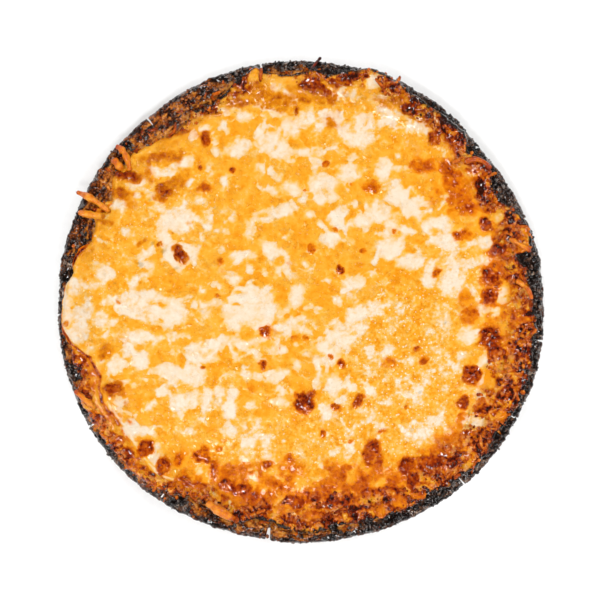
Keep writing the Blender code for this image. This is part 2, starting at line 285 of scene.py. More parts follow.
def addPiece(name, points, quads, triangles, fields, finish, slot, isSmooth=True):
    # a mesh from whole arrays, points in millimetres; fields are numbers kept on its points
    mesh = bpy.data.meshes.new(name)
    triangles = np.asarray(triangles, int).reshape(-1, 3)
    quads = np.asarray(quads, int).reshape(-1, 4)
    corners = np.concatenate([quads.ravel(), triangles.ravel()]).astype(np.int32)
    starts = np.concatenate([4 * np.arange(len(quads)), 4 * len(quads) + 3 * np.arange(len(triangles))])
    mesh.vertices.add(len(points))
    mesh.vertices.foreach_set("co", (np.asarray(points) * mm).astype(np.float32).ravel())
    mesh.loops.add(len(corners))
    mesh.loops.foreach_set("vertex_index", corners)
    mesh.polygons.add(len(starts))
    mesh.polygons.foreach_set("loop_start", starts.astype(np.int32))
    mesh.update(calc_edges=True)
    mesh.validate()
    mesh.polygons.foreach_set("use_smooth", np.full(len(mesh.polygons), isSmooth))
    for field, values in fields.items():
        attribute = mesh.attributes.new(field, "FLOAT", "POINT")
        attribute.data.foreach_set("value", np.asarray(values, np.float32).ravel())
    mesh.materials.append(finish.material)
    piece = bpy.data.objects.new(name, mesh)
    bpy.context.scene.collection.objects.link(piece)
    if slot:
        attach(piece, "root")
    print(name, len(quads) * 2 + len(triangles), "triangles")
    return piece


crust = {
    "floorRadius": 104.0,
    "floorHeight": 5.0,
    "rimHeight": 12.8,
    "waves": [(2, 0.7, 0.7), (3, 0.4, 2.1), (7, 0.3, 0.0)],      # of the rim: times round, height, turn
    "crestShare": 0.82,      # of the way from the floor's edge to the outline
    "shoulderDrop": 0.30,    # of the rim's rise, lost again outside its crest
    "baseRadius": 119.5,
    "footRadius": 120.5,
    "footHeight": 1.6,
    "footRound": (0.25, 0.35),      # how far in and how high the foot's edge is rounded
    "charDepth": 1.3,
    "charStart": (-0.2, 1.4),       # how far outside the cheese its crags begin and are full
    "wallPits": 0.8,                # how deep the wall is pitted, of charDepth
    "columns": 1180,
    "innerRings": 4,
    "topRings": 34,
    "wallRings": 20,
    "baseRings": 5,
    "innerShare": -0.12,     # the top's first ring, from the floor's edge (0) to the outline (1)
    "bareShare": 0.35,       # where the closer rings of the top start
    # where the rim is brown instead of charred: four angles in degrees between which it comes and goes, and
    # how brown it is
    "brown": [
        (96, 118, 150, 180, 1.0), (62, 76, 96, 118, 0.22), (165, 200, 285, 300, 0.42),
        (236, 250, 272, 286, 0.2),
    ],
    # the outline's radius every 10 degrees from the photograph's right, anticlockwise, in its pixels
    "outline": [
        243.5, 244, 241, 238.5, 237.3, 240.8, 241.8, 244, 241.8, 242.5, 242.8, 242.5, 241.8, 240.8, 242.8,
        243.5, 243.3, 245, 244.3, 245.8, 246.8, 247.5, 247.5, 246.3, 245.3, 243.5, 242, 243.5, 243.3, 244,
        245.3, 247, 248, 247.5, 247.5, 246,
    ],
    # degrees, radius of the inner end and width at the outline in millimetres
    "cracks": [
        (41.3, 120.9, 1.9), (99.6, 120.6, 1.4), (130, 119.9, 1.1), (183.2, 124.5, 1.3), (210.6, 124.7, 1.4),
        (234.5, 120.3, 1.0), (262, 116.6, 2.6), (311.8, 123.5, 1.0), (331.5, 122.5, 1.3), (350.7, 124, 1.2),
    ],
    "crackFloor": 2.0,
    "crackTaper": 0.35,
    "crackRadius": 127,      # where their width is measured
    "crackPoints": 22,       # extra points across each
    "crackSpread": 1.1,      # how far those reach, in half widths
}


def outlineAt(angle):
    return around(crust["outline"], angle) * photo["pixel"]


def rimHeightAt(angle):
    # sine waves round the pizza, added to the rim's height
    waves = sum(high * np.sin(times * angle + turn) for times, high, turn in crust["waves"])
    return crust["rimHeight"] + waves


def crustTop(radius, angle):
    # level floor, then an S-curve up to the crest, then a parabola down to the outline
    u = np.clip((radius - crust["floorRadius"]) / (outlineAt(angle) - crust["floorRadius"]), 0, 1)
    past = np.clip((u - crust["crestShare"]) / (1 - crust["crestShare"]), 0, 1)
    share = smooth(0.0, crust["crestShare"], u) - crust["shoulderDrop"] * past ** 2
    return crust["floorHeight"] + (rimHeightAt(angle) - crust["floorHeight"]) * share


def charCrags(x, y, z):
    # how deep the charred surface is sunk, 0 to 1.3: lumps with sharp pits between small blistered cells
    near, second, _ = cells(x, y, z, 3.1, 5)
    pit = 1 - smooth(0.0, 0.34, second - near)
    coarse, fine = lumps(x, y, z, 5.5, 11), lumps(x, y, z, 1.5, 12, 2)
    return np.clip(0.45 + 0.4 * coarse + 0.3 * pit + 0.22 * fine, 0, 1.3)


def cragDepth(x, y, height, radius, edge):
    # millimetres that the top is sunk by its crags, outside the cheese's edge
    start, full = crust["charStart"]
    return crust["charDepth"] * charCrags(x, y, height) * smooth(edge + start, edge + full, radius)


def darkSide(x, y):
    # 0 where the rim is brown (upper left of the photograph), 1 where it is charcoal
    degrees = np.degrees(np.arctan2(y, x)) % 360
    brown = sum(share * stretch(degrees, *angles) for *angles, share in crust["brown"])
    return np.clip(1 - brown + 0.4 * lumps(x, y, 0.0, 9.0, 21, 2) * (brown > 0), 0, 1)


def crackedRadius(radius, angle):
    # each crack is a wedge from above: a place inside it is pulled in to the wedge's inner side
    outer = outlineAt(angle)
    for degrees, inner, width in crust["cracks"]:
        turn = (angle - math.radians(degrees) + math.pi) % math.tau - math.pi
        away = np.abs(turn) * outer / (0.5 * width)
        taper = crust["crackTaper"]
        limit = inner + (outer - inner) * np.clip((away - taper) / (1 - taper), 0, 1)
        radius = np.where(away < 1, np.minimum(radius, limit), radius)
    return radius


def makeCrust():
    # a dish turned about Z: rings over the floor, up the rim, down the leaning wall and back under
    size = crust
    even = np.arange(size["columns"]) / size["columns"] * math.tau
    across = np.linspace(-size["crackSpread"], size["crackSpread"], size["crackPoints"])
    fine = [math.radians(d) + across * w / 2 / size["crackRadius"] for d, _, w in size["cracks"]]
    angle = np.unique(np.round(np.concatenate([even] + fine) % math.tau, 5))
    inner = np.linspace(size["innerShare"], size["bareShare"], size["innerRings"], endpoint=False)
    top = np.concatenate([inner, np.linspace(size["bareShare"], 1.0, size["topRings"])])
    outer = outlineAt(angle)
    radius = size["floorRadius"] + top[:, None] * (outer - size["floorRadius"])
    turned = np.broadcast_to(angle, radius.shape)
    height = crustTop(radius, turned)
    x, y = radius * np.cos(turned), radius * np.sin(turned)
    depth = cragDepth(x, y, height, radius, cheeseEdge(turned))
    height = height - depth
    radius = radius - 0.6 * depth * smooth(0.9, 1.0, top)[:, None]      # the outer edge sinks inwards too
    # the wall leans in to the foot, pitted where the pan fried it
    t = (np.arange(size["wallRings"]) + 1)[:, None] / size["wallRings"]
    wallTop = height[-1]
    wallRadius = radius[-1] + (size["footRadius"] - radius[-1]) * t
    wallHeight = wallTop + (size["footHeight"] - wallTop) * t
    wx, wy = wallRadius * np.cos(angle), wallRadius * np.sin(angle)
    pits = size["charDepth"] * size["wallPits"] * (charCrags(wx, wy, wallHeight) - 0.4) * smooth(0.0, 0.12, t)
    wallRadius = wallRadius - pits * (1 - 0.6 * t)
    # rounded foot and the flat underside
    rings = np.linspace(1.0, 0.12, size["baseRings"]) ** 0.7
    inward, upward = size["footRound"]
    footRadius = np.array([[size["footRadius"] - inward], [size["baseRadius"]]]) + np.zeros_like(outer)
    footHeight = np.array([[upward], [0.0]]) + np.zeros_like(outer)
    baseRadius = size["baseRadius"] * rings[1:, None] + np.zeros_like(outer)
    radius = np.concatenate([radius, wallRadius, footRadius, baseRadius])
    height = np.concatenate([height, wallHeight, footHeight, baseRadius * 0])
    turned = np.broadcast_to(angle, radius.shape)
    cracked = crackedRadius(radius, turned)
    radius = np.where(height > size["crackFloor"], cracked, radius)
    points = np.stack([radius * np.cos(turned), radius * np.sin(turned), height], -1).reshape(-1, 3)
    columns = len(angle)
    last = len(points) - columns
    points = np.concatenate([points, [[0, 0, size["floorHeight"]], [0, 0, 0]]])
    here = np.arange(columns)
    beside = (here + 1) % columns
    middleTop, middleBase = np.full(columns, len(points) - 2), np.full(columns, len(points) - 1)
    caps = np.concatenate([np.stack([middleTop, here, beside], -1),
                           np.stack([last + here, middleBase, last + beside], -1)])
    x, y, z = points.T
    away = np.hypot(x, y)
    turn = np.arctan2(y, x)
    fields = {
        "char": darkSide(x, y),
        "pit": charCrags(x, y, z),
        "side": smooth(0.2, 3.0, z),
        "rim": smooth(-4.5, -0.4, away - outlineAt(turn)),
        "slope": 1 - smooth(0.5, 7.0, away - cheeseEdge(turn)),
    }
    quads = ringFaces(len(radius), columns)
    piece = addPiece("bakedCrust", points, quads, caps, fields, doughFinish(), "crust")
    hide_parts("crust")


def doughFinish():
    finish = Finish("charredDough", Roughness=0.3, Coat_Roughness=0.07, Specular_IOR_Level=0.3)
    roundway = finish.roundPlace(120.0, 1.9)
    fine, coarse, patch = finish.noise(1.1, 2), finish.noise(3.4, 3, 0.8), finish.noise(6, 3, 0.6)
    streak, broad = finish.noise(2.2, 3, 0.3, roundway), finish.noise(4.4, 2, 0.3, roundway)
    scrap, pit, slope = finish.scraps(2.8), finish.field("pit"), finish.field("slope")
    char, rim = finish.field("char"), finish.field("rim")
    # charcoal: mostly black scraps; the grey ones are partly ash and partly painted glints
    dark = scrap * 0.55 + (fine - 0.5) * 0.6 + (coarse - 0.5) * 1.1 + char * 0.2 - 0.22
    black = finish.ramp(dark, [
        (0.08, 14, 6, 3), (0.3, 50, 26, 16), (0.46, 92, 60, 42), (0.57, 140, 106, 82), (0.68, 204, 184, 166)])
    # brown: fried bread in streaks, golden beside the cheese
    bread = (streak - 0.5) * 1.5 + (broad - 0.5) * 1.1 + (fine - 0.5) * 0.9 + scrap * 0.14
    bread = bread + slope * 0.2 - pit * 0.16 - rim * 0.2
    brown = finish.ramp(bread + 0.43, [
        (0.22, 40, 14, 3), (0.38, 98, 42, 8), (0.5, 148, 72, 16), (0.64, 188, 104, 28), (0.8, 222, 146, 60)])
    charred = char * 1.9 + (broad - 0.5) * 1.9 + (patch - 0.5) * 0.8 - slope * 0.6 + pit * 0.2 - 0.6
    isBlack = (charred + rim * 0.2).between(0.0, 0.45)
    color = finish.mix(isBlack, brown, black)
    # a thin brown line shows where the wall starts
    edge = (rim - 0.72) * 2.4 * (1.45 - pit) + (coarse - 0.5)
    color = finish.mix(edge.between(0.2, 0.9) * 0.75, color, shown(92, 42, 22))
    under = finish.ramp(finish.noise(9, 5, 0.8) * 0.7 + fine * 0.3, [
        (0.36, 86, 50, 26), (0.47, 158, 102, 54), (0.6, 204, 154, 92)])
    finish.feed("Base Color", finish.mix(finish.field("side"), under, color))
    finish.feed("Roughness", (coarse - 0.35).between(0.0, 0.3) * 0.2 + 0.08)
    finish.feed("Coat Weight", (patch - 0.35).between(0.0, 0.2) * (isBlack * 0.5 + 0.5))
    facets = (finish.facets(1.3) * 0.6 + finish.facets(2.6) * 0.6) * (isBlack * 0.7 + 0.7)
    finish.relief(facets + coarse * 0.4 + streak * 0.4, 1.0)
    return finish


cheese = {
    "gap": 0.3,              # the solids' gap to the crust, and what is added to it on the rim
    "rimGap": 0.2,
    "sink": 0.15,            # how much further down this cheese reaches
    "thickness": 3.2,
    "edgeThickness": 1.1,
    "leastThickness": 0.35,
    "crispStart": 0.86,      # of the cheese's radius
    "lipThickness": (0.5, 2.5),      # at the lip's side of the edge, and what its rounding adds
    "lipRound": 0.028,       # of the cheese's radius
    "lipDrop": 1.7,          # down from the lip into its groove, and up again outside it
    "lipRise": 0.8,
    # how dark the groove below the lip is painted, as shade
    "grooveShade": 0.86,
    "sway": 0.9,             # how far the spots are pushed about, to make their borders uneven
    "bubbles": 6.2,          # the cells and the lumps on the surface
    "shards": 3.6,
    "grit": 1.7,
    "ragged": 0.26,          # of a blister's size
    "blisterRise": 0.16,     # of a blister's width
    "wobbles": 520,
    "bulge": 0.3,            # of the side, of its height
    "sideRings": (0.35, 0.75),
    "underRings": (1.0, 0.965, 0.93, 0.87),
    "cells": 298,
    "crowding": 0.30,        # how much closer the grid lies near the edge
    # where the cheese stops: degrees from the photograph's right, anticlockwise, and its pixels
    "edge": [
        (0, 231), (7.5, 227.5), (12, 221), (13, 234), (17.5, 240), (22.5, 233), (26, 224), (31.5, 224),
        (36.5, 233), (42, 223), (46, 234), (53, 233), (60, 233.5), (66, 239), (70, 243), (74, 241),
        (80, 233), (82.6, 226.5), (86.6, 232.5), (90, 228), (95, 225), (98, 229.5), (101, 237.7),
        (105, 231), (108.5, 223), (115, 217), (120, 219), (123, 211), (127, 210), (134, 218), (139.5, 225),
        (143, 222), (145, 227), (148, 223), (152, 215), (156, 227), (158, 223), (160, 219), (164, 218),
        (167, 229), (170, 232), (173.5, 229), (176, 236), (180, 237.5), (183, 240), (187, 241),
        (191, 233.5), (194, 236), (199, 231), (202, 241), (205, 241), (209, 240), (213, 239), (217, 238.6),
        (222, 237.5), (226, 239), (231, 235), (235, 232), (239, 225), (243, 223), (245, 224), (249, 226.5),
        (255, 228), (258, 222), (262, 221), (264, 224), (269, 229), (274, 231), (278, 226), (283, 226),
        (290, 230), (296, 233), (302, 233), (303.5, 229), (309, 236), (313, 236), (318, 240), (322, 238),
        (326, 233), (332, 238), (336, 239), (341, 238.5), (346, 237), (350.5, 235), (354, 237), (358, 231),
    ],
    # the smooth pool's own rounded lip on the left: degrees and millimetres
    "lip": [
        (123, 106.2), (140, 117.9), (143, 115.7), (146, 117), (153, 111.3), (159, 114.9), (163, 113),
        (166, 116), (175, 122.6), (185, 125), (190.6, 120.8), (195, 113.1), (200, 111), (204, 114.8),
        (208, 115), (212, 113.6), (219, 114.3), (224, 116.4), (228, 117.1), (232, 116.9), (236, 113.4),
        (240, 112.5),
    ],
    # the radius where browning starts, every 20 degrees, in millimetres
    "browning": [
        97, 97, 105, 110, 113, 111, 104, 115, 112, 121, 109, 110, 104, 99, 94, 98, 99, 96,
    ],
}

# Pale cheese that melted through the orange: middle, length and width in photograph pixels, turn in degrees.
paleSpots = [
    (268.6, 171.7, 29, 10, -25), (325, 188, 34, 28, 90), (350.8, 173, 40, 13, 0), (224, 180.6, 14, 10, 60),
    (267.3, 188.3, 20, 8, -20), (294, 189.5, 26, 14, -15), (273.7, 212.5, 46, 14, 15),
    (249.5, 229, 14, 11, 80), (231.6, 217.6, 13, 11, -40), (179.3, 218.9, 34, 24, 10),
    (164, 236.7, 20, 14, 90), (207.4, 221.4, 26, 10, 80), (192, 201, 18, 8, 10), (157.7, 211.2, 14, 8, 0),
    (153.8, 181.9, 22, 7, 90), (185.7, 160.2, 14, 10, 20), (236.7, 152.5, 22, 8, 0),
    (281, 156, 26, 10, -20), (309.4, 152.6, 30, 8, 0), (217.6, 231.6, 8, 5, 0), (180.6, 255.9, 36, 26, 0),
    (240.6, 255.9, 26, 9, 0), (222.7, 248.2, 8, 8, 0), (278.8, 259.7, 42, 18, -48),
    (304.3, 264.8, 12, 6, -10), (332.4, 238.6, 26, 12, 0), (343, 219, 22, 24, 0), (310.7, 213.8, 11, 10, 0),
    (320.9, 223.3, 9, 6, -30), (285.2, 236, 7, 5, 0), (265.4, 270.5, 9, 5, -55), (217.6, 283.3, 10, 8, 0),
    (235.5, 280, 12, 9, 0), (249.5, 309.4, 52, 46, 0), (201, 289.7, 9, 7, 0), (165, 313, 38, 30, 0),
    (207.4, 304.3, 28, 9, 10), (203.6, 318.4, 16, 9, 10), (165, 336, 34, 9, 0), (207.4, 345, 42, 10, 0),
    (296.7, 295.4, 24, 16, 60), (326.7, 280, 9, 7, 0), (317, 309.4, 10, 5, 0), (337.5, 301.8, 9, 5, -70),
    (296.7, 327.3, 34, 18, 0), (335, 338.8, 28, 18, 0), (382.7, 169, 18, 14, 90), (396.7, 192, 28, 22, 0),
    (414.5, 206, 30, 22, -20), (372.4, 213.8, 36, 24, 0), (410.7, 229, 16, 14, 0),
    (437.5, 231.6, 34, 26, 90), (389, 248.2, 24, 22, 0), (414.5, 261, 32, 20, 0), (442.6, 255.9, 20, 18, 0),
    (352, 283.9, 20, 16, 0), (377.6, 308.2, 17, 14, 90), (428.6, 282.7, 12, 12, 0),
    (446.4, 290.3, 24, 10, 90), (358.4, 314.5, 22, 18, 0), (352, 328.6, 34, 22, 0),
    (339.3, 338.8, 40, 20, 0), (442.6, 314.5, 14, 12, 0), (441.3, 335, 26, 18, 90), (374.4, 261, 6, 5, 0),
    (193.4, 133, 14, 12, 0), (215.3, 146.4, 18, 6, 90), (223.8, 127.7, 12, 11, 0),
    (238.9, 148.2, 18, 13, 0), (236.3, 137.5, 10, 5, 90), (240.7, 116, 26, 9, 10), (221, 111.6, 10, 5, 0),
    (197.9, 110.7, 20, 6, 10), (273.8, 139.3, 34, 30, 0), (286, 124, 22, 12, 90), (263, 108, 14, 8, 0),
    (274.6, 88.4, 11, 7, 0), (289, 96.4, 16, 12, -40), (306, 118, 19, 17, 0), (317.5, 125.9, 14, 8, 90),
    (296, 150.9, 44, 10, 0), (331, 119, 28, 14, 0), (317.6, 130.4, 8, 8, 0), (352, 92.9, 12, 12, 0),
    (373.4, 82.1, 16, 11, 20), (362, 120, 22, 14, 0), (358.2, 134.8, 30, 24, 0), (390.4, 120.5, 20, 20, 0),
    (394.8, 138.4, 8, 3, 0), (378.3, 138, 6, 5, 0), (421, 127, 18, 16, 0), (431.4, 120.5, 12, 12, 0),
    (350.2, 159, 6, 6, 0), (385.9, 164.3, 24, 16, 0), (400.6, 155.4, 8, 6, 0), (129.6, 165.5, 8, 5, 0),
    (148.4, 170.9, 12, 10, 0), (164, 174, 8, 5, 0), (178, 165, 14, 4, 10), (190.8, 159.3, 6, 8, 0),
    (137.7, 194, 6, 5, 0), (119, 208, 15, 12, 90), (143.5, 216.9, 6, 5, 0), (125.2, 232.5, 12, 9, 0),
    (164.5, 236, 22, 12, 90), (98, 239.5, 14, 6, -70), (132.5, 258.2, 20, 6, 0), (150.4, 264.5, 12, 8, 0),
    (103.9, 272.5, 20, 20, 0), (73.6, 286.8, 22, 14, 90), (95, 285, 22, 8, 0), (84.3, 309, 28, 20, 90),
    (68.2, 312.7, 40, 10, 90), (143, 306, 50, 30, 0), (82.5, 330.5, 18, 18, 0), (106.6, 335.9, 8, 6, 0),
    (143.2, 336.8, 44, 12, 0), (112, 323.4, 8, 6, 0), (78.6, 335.4, 30, 16, 0), (88.4, 350.5, 12, 8, 0),
    (100.9, 362, 10, 6, 0), (116, 364.8, 22, 18, 35), (128.6, 350.5, 16, 14, 90), (140.2, 361.3, 20, 16, 0),
    (168.8, 372.9, 36, 20, 0), (124.6, 380, 8, 6, 0), (160.7, 391.6, 12, 10, 0), (118.8, 401.4, 12, 12, 0),
    (150.9, 406.8, 12, 7, 35), (179.5, 404, 24, 22, 0), (130, 430, 19, 12, -45), (153, 457.5, 18, 10, -35),
    (151, 432, 18, 10, 0), (229, 414.5, 12, 12, 0), (231.6, 430.5, 18, 16, 0), (220, 444, 12, 6, 0),
    (247, 442, 46, 14, 85), (200, 472, 11, 7, 0), (252, 477.5, 12, 10, 0), (274.8, 439.8, 7, 6, 0),
    (290, 473.8, 8, 7, 0), (305.2, 458.6, 12, 4, -30), (347, 449.6, 24, 14, 0), (355, 469.3, 16, 6, 0),
    (358.8, 485.4, 10, 6, 90), (276, 496, 8, 5, 0), (448, 247.3, 30, 20, 90), (462.3, 264.3, 24, 10, 0),
    (453.4, 284.8, 26, 22, 90), (488.2, 262.5, 28, 12, 0), (497, 217.9, 8, 6, 0), (488, 238.4, 9, 8, 0),
    (504.3, 293.8, 18, 9, 70), (488, 311, 20, 7, 0), (446.3, 323.2, 16, 12, 90), (469.5, 333, 26, 12, 0),
    (467.3, 336.6, 24, 16, 0), (438.3, 365.6, 20, 8, 80), (463.2, 354.8, 16, 10, 0),
    (454.9, 367.3, 8, 8, 0), (484.3, 363.1, 12, 10, 0), (483, 399.6, 14, 8, 0), (479, 422, 16, 8, 0),
    (442.4, 402.9, 20, 16, 0), (446.6, 440, 20, 12, 0), (421, 433, 12, 9, 30), (447.5, 440.4, 20, 18, 0),
    (443, 413.6, 10, 8, 0), (424.3, 420.7, 22, 8, 0), (365, 427, 10, 6, 90), (389.5, 467, 7, 6, 0),
    (449.3, 452, 36, 4, -5), (197.9, 352.9, 40, 22, 0), (191.6, 374.3, 30, 24, 0),
    (237.1, 342.1, 46, 14, 0), (233.6, 356.4, 14, 12, 0), (253.2, 353.8, 14, 14, 0),
    (253.2, 372.5, 22, 12, 0), (279.1, 352, 16, 14, 0), (276.4, 374.3, 24, 12, 0), (230, 374.3, 24, 5, 0),
    (188, 401, 22, 20, 0), (206.8, 403.8, 18, 10, 90), (217.5, 391.3, 12, 10, 0),
    (233.6, 399.3, 28, 14, 90), (230, 411.8, 18, 14, 90), (280.9, 402, 18, 10, 0), (283.6, 392, 14, 12, 0),
    (297.9, 366.3, 24, 6, -55), (315.7, 383.2, 10, 10, 0), (318.4, 364.5, 16, 8, 90),
    (305.9, 352.9, 10, 5, 0), (297, 345.3, 8, 5, 0), (250.5, 406.4, 10, 5, 0), (255.9, 422.5, 18, 14, 90),
    (247.9, 429.6, 14, 12, 0), (230, 431.4, 14, 8, 0), (330.7, 345.8, 24, 20, 0), (353.1, 340.8, 20, 8, 0),
    (367.2, 340, 8, 6, 0), (333.2, 356.6, 14, 10, 90), (320.8, 366.5, 18, 12, 80), (316.6, 383, 12, 12, 0),
    (334, 388, 28, 14, 80), (325.8, 411.3, 18, 12, 90), (368.9, 350, 10, 10, 0), (384.6, 353.2, 16, 14, 90),
    (392, 379, 18, 12, 0), (400, 361, 6, 6, 0), (353, 386.4, 8, 8, 0), (373, 391.4, 26, 8, -45),
    (422.8, 378, 12, 8, 90), (437.7, 351.6, 34, 6, 90), (418.6, 396.4, 20, 20, 0), (413, 437, 16, 13, 0),
    (426, 421, 22, 8, 0), (368, 425, 18, 10, 0), (326, 168, 22, 8, 10), (366, 174, 14, 5, 20),
    (357, 206, 18, 7, 60), (376, 230, 38, 8, -14), (353, 241, 12, 6, 0), (398, 216, 11, 8, 0),
    (443, 203, 13, 8, 50), (464, 247, 26, 8, 20), (458, 236, 11, 6, 80), (480, 272, 14, 8, 90),
    (432, 262, 16, 9, 90), (352, 298, 15, 8, 80), (284, 331, 24, 12, -40), (281, 315, 17, 10, 60),
    (262, 361, 16, 6, 0), (230, 352, 13, 6, -50), (136, 280, 27, 7, 30), (100, 319, 18, 14, 90),
    (151, 241, 20, 6, 70), (204, 211, 15, 6, 0), (222, 212, 17, 6, 20), (143, 381, 36, 6, 5),
    (166, 373, 12, 7, 0), (217, 401, 14, 8, 70), (341, 398, 17, 8, 70), (360, 436, 17, 7, 80),
    (447, 382, 25, 9, 70), (449, 447, 17, 6, 20), (476, 421, 18, 9, 0), (438, 312, 26, 9, 80),
    (441, 352, 24, 8, 90), (266, 437, 11, 8, 0), (158, 449, 15, 6, -60), (156, 462, 11, 5, 30),
    (262, 114, 17, 6, 0), (261, 126, 11, 6, 60), (140, 187, 28, 11, -35), (189, 160, 12, 7, 70),
    (306, 199, 17, 7, 10), (254, 217, 27, 6, 30), (252, 221, 16, 10, 30), (300, 199, 18, 8, 20),
    (318, 166, 14, 9, 60), (352, 170, 44, 9, 0), (240, 146, 26, 14, 0), (258, 132, 22, 10, 90),
    (295, 126, 24, 8, 80), (344, 183, 13, 8, 0), (358, 219, 16, 10, 90), (392, 224, 16, 11, 0),
    (429, 262, 26, 11, 80), (481, 273, 26, 9, 70), (441, 321, 30, 11, 85), (441, 401, 34, 10, 95),
    (449, 443, 20, 13, 0), (237, 346, 12, 7, 0), (270, 341, 20, 9, -20), (288, 338, 16, 9, 80),
    (203, 312, 20, 9, 10), (126, 383, 28, 8, -10), (92, 267, 20, 5, 35), (112, 261, 16, 5, 10),
    (101, 303, 22, 7, 0), (266, 452, 24, 8, 80), (359, 451, 26, 6, 85), (318, 376, 22, 9, 80),
    (206, 171, 13, 7, 90), (202, 128, 20, 7, 20), (228, 300, 12, 8, 0), (420, 252, 10, 12, 90),
    (398, 243, 16, 7, 20), (411, 188, 12, 8, -40), (466, 262, 16, 12, 0), (476, 243, 10, 8, 0),
    (160, 226, 20, 7, 80), (150, 250, 24, 7, 30), (290, 95, 20, 8, -30), (275, 86, 14, 7, 0),
    (346, 93, 22, 12, 0), (371, 84, 15, 12, 45), (382, 103, 18, 8, 30), (394, 114, 44, 14, -35),
    (225, 110, 22, 7, 10), (485, 243, 16, 14, 0), (497, 312, 16, 6, 40), (504, 266, 12, 6, 90),
    (386, 471, 14, 8, 0), (358, 488, 14, 6, 80), (276, 490, 16, 7, 80),
]

# Orange strands and islands that lie over the pale cheese, as above.
orangeSpots = [
    (249, 360, 20, 6, -40), (216.5, 353.5, 16, 6, 0), (231, 368.5, 34, 8, -3), (270, 345, 19, 8, -130),
    (276, 361, 14, 8, 0), (352, 214.4, 19, 5, 48), (354, 231.6, 9, 5, 90), (376.3, 226.5, 14, 8, 0),
    (404, 221, 14, 8, 0), (426, 212.5, 7, 7, 0), (436.2, 231.6, 8, 7, 0), (432.4, 250.8, 10, 6, 90),
    (419.6, 238, 14, 12, 0), (344, 191, 16, 14, 90), (244.4, 333.7, 12, 10, 0), (277.6, 262.2, 7, 6, 0),
    (263.5, 216.3, 6, 4, 0), (346, 88, 22, 9, 0), (362, 98, 16, 8, -30), (392, 102, 14, 9, 0),
    (402, 122, 10, 12, 0), (317, 106, 24, 7, 0), (183, 297, 12, 9, 0), (270, 130, 9, 6, 20),
    (239, 292, 9, 6, 0), (250, 331, 10, 8, 0), (186, 178, 14, 7, 0), (392, 311, 18, 9, 0),
    (371, 370, 22, 12, 90), (382, 198, 18, 8, 90), (410, 364, 12, 8, 0), (368, 108, 24, 10, 10),
    (188, 432, 10, 8, 0),
]

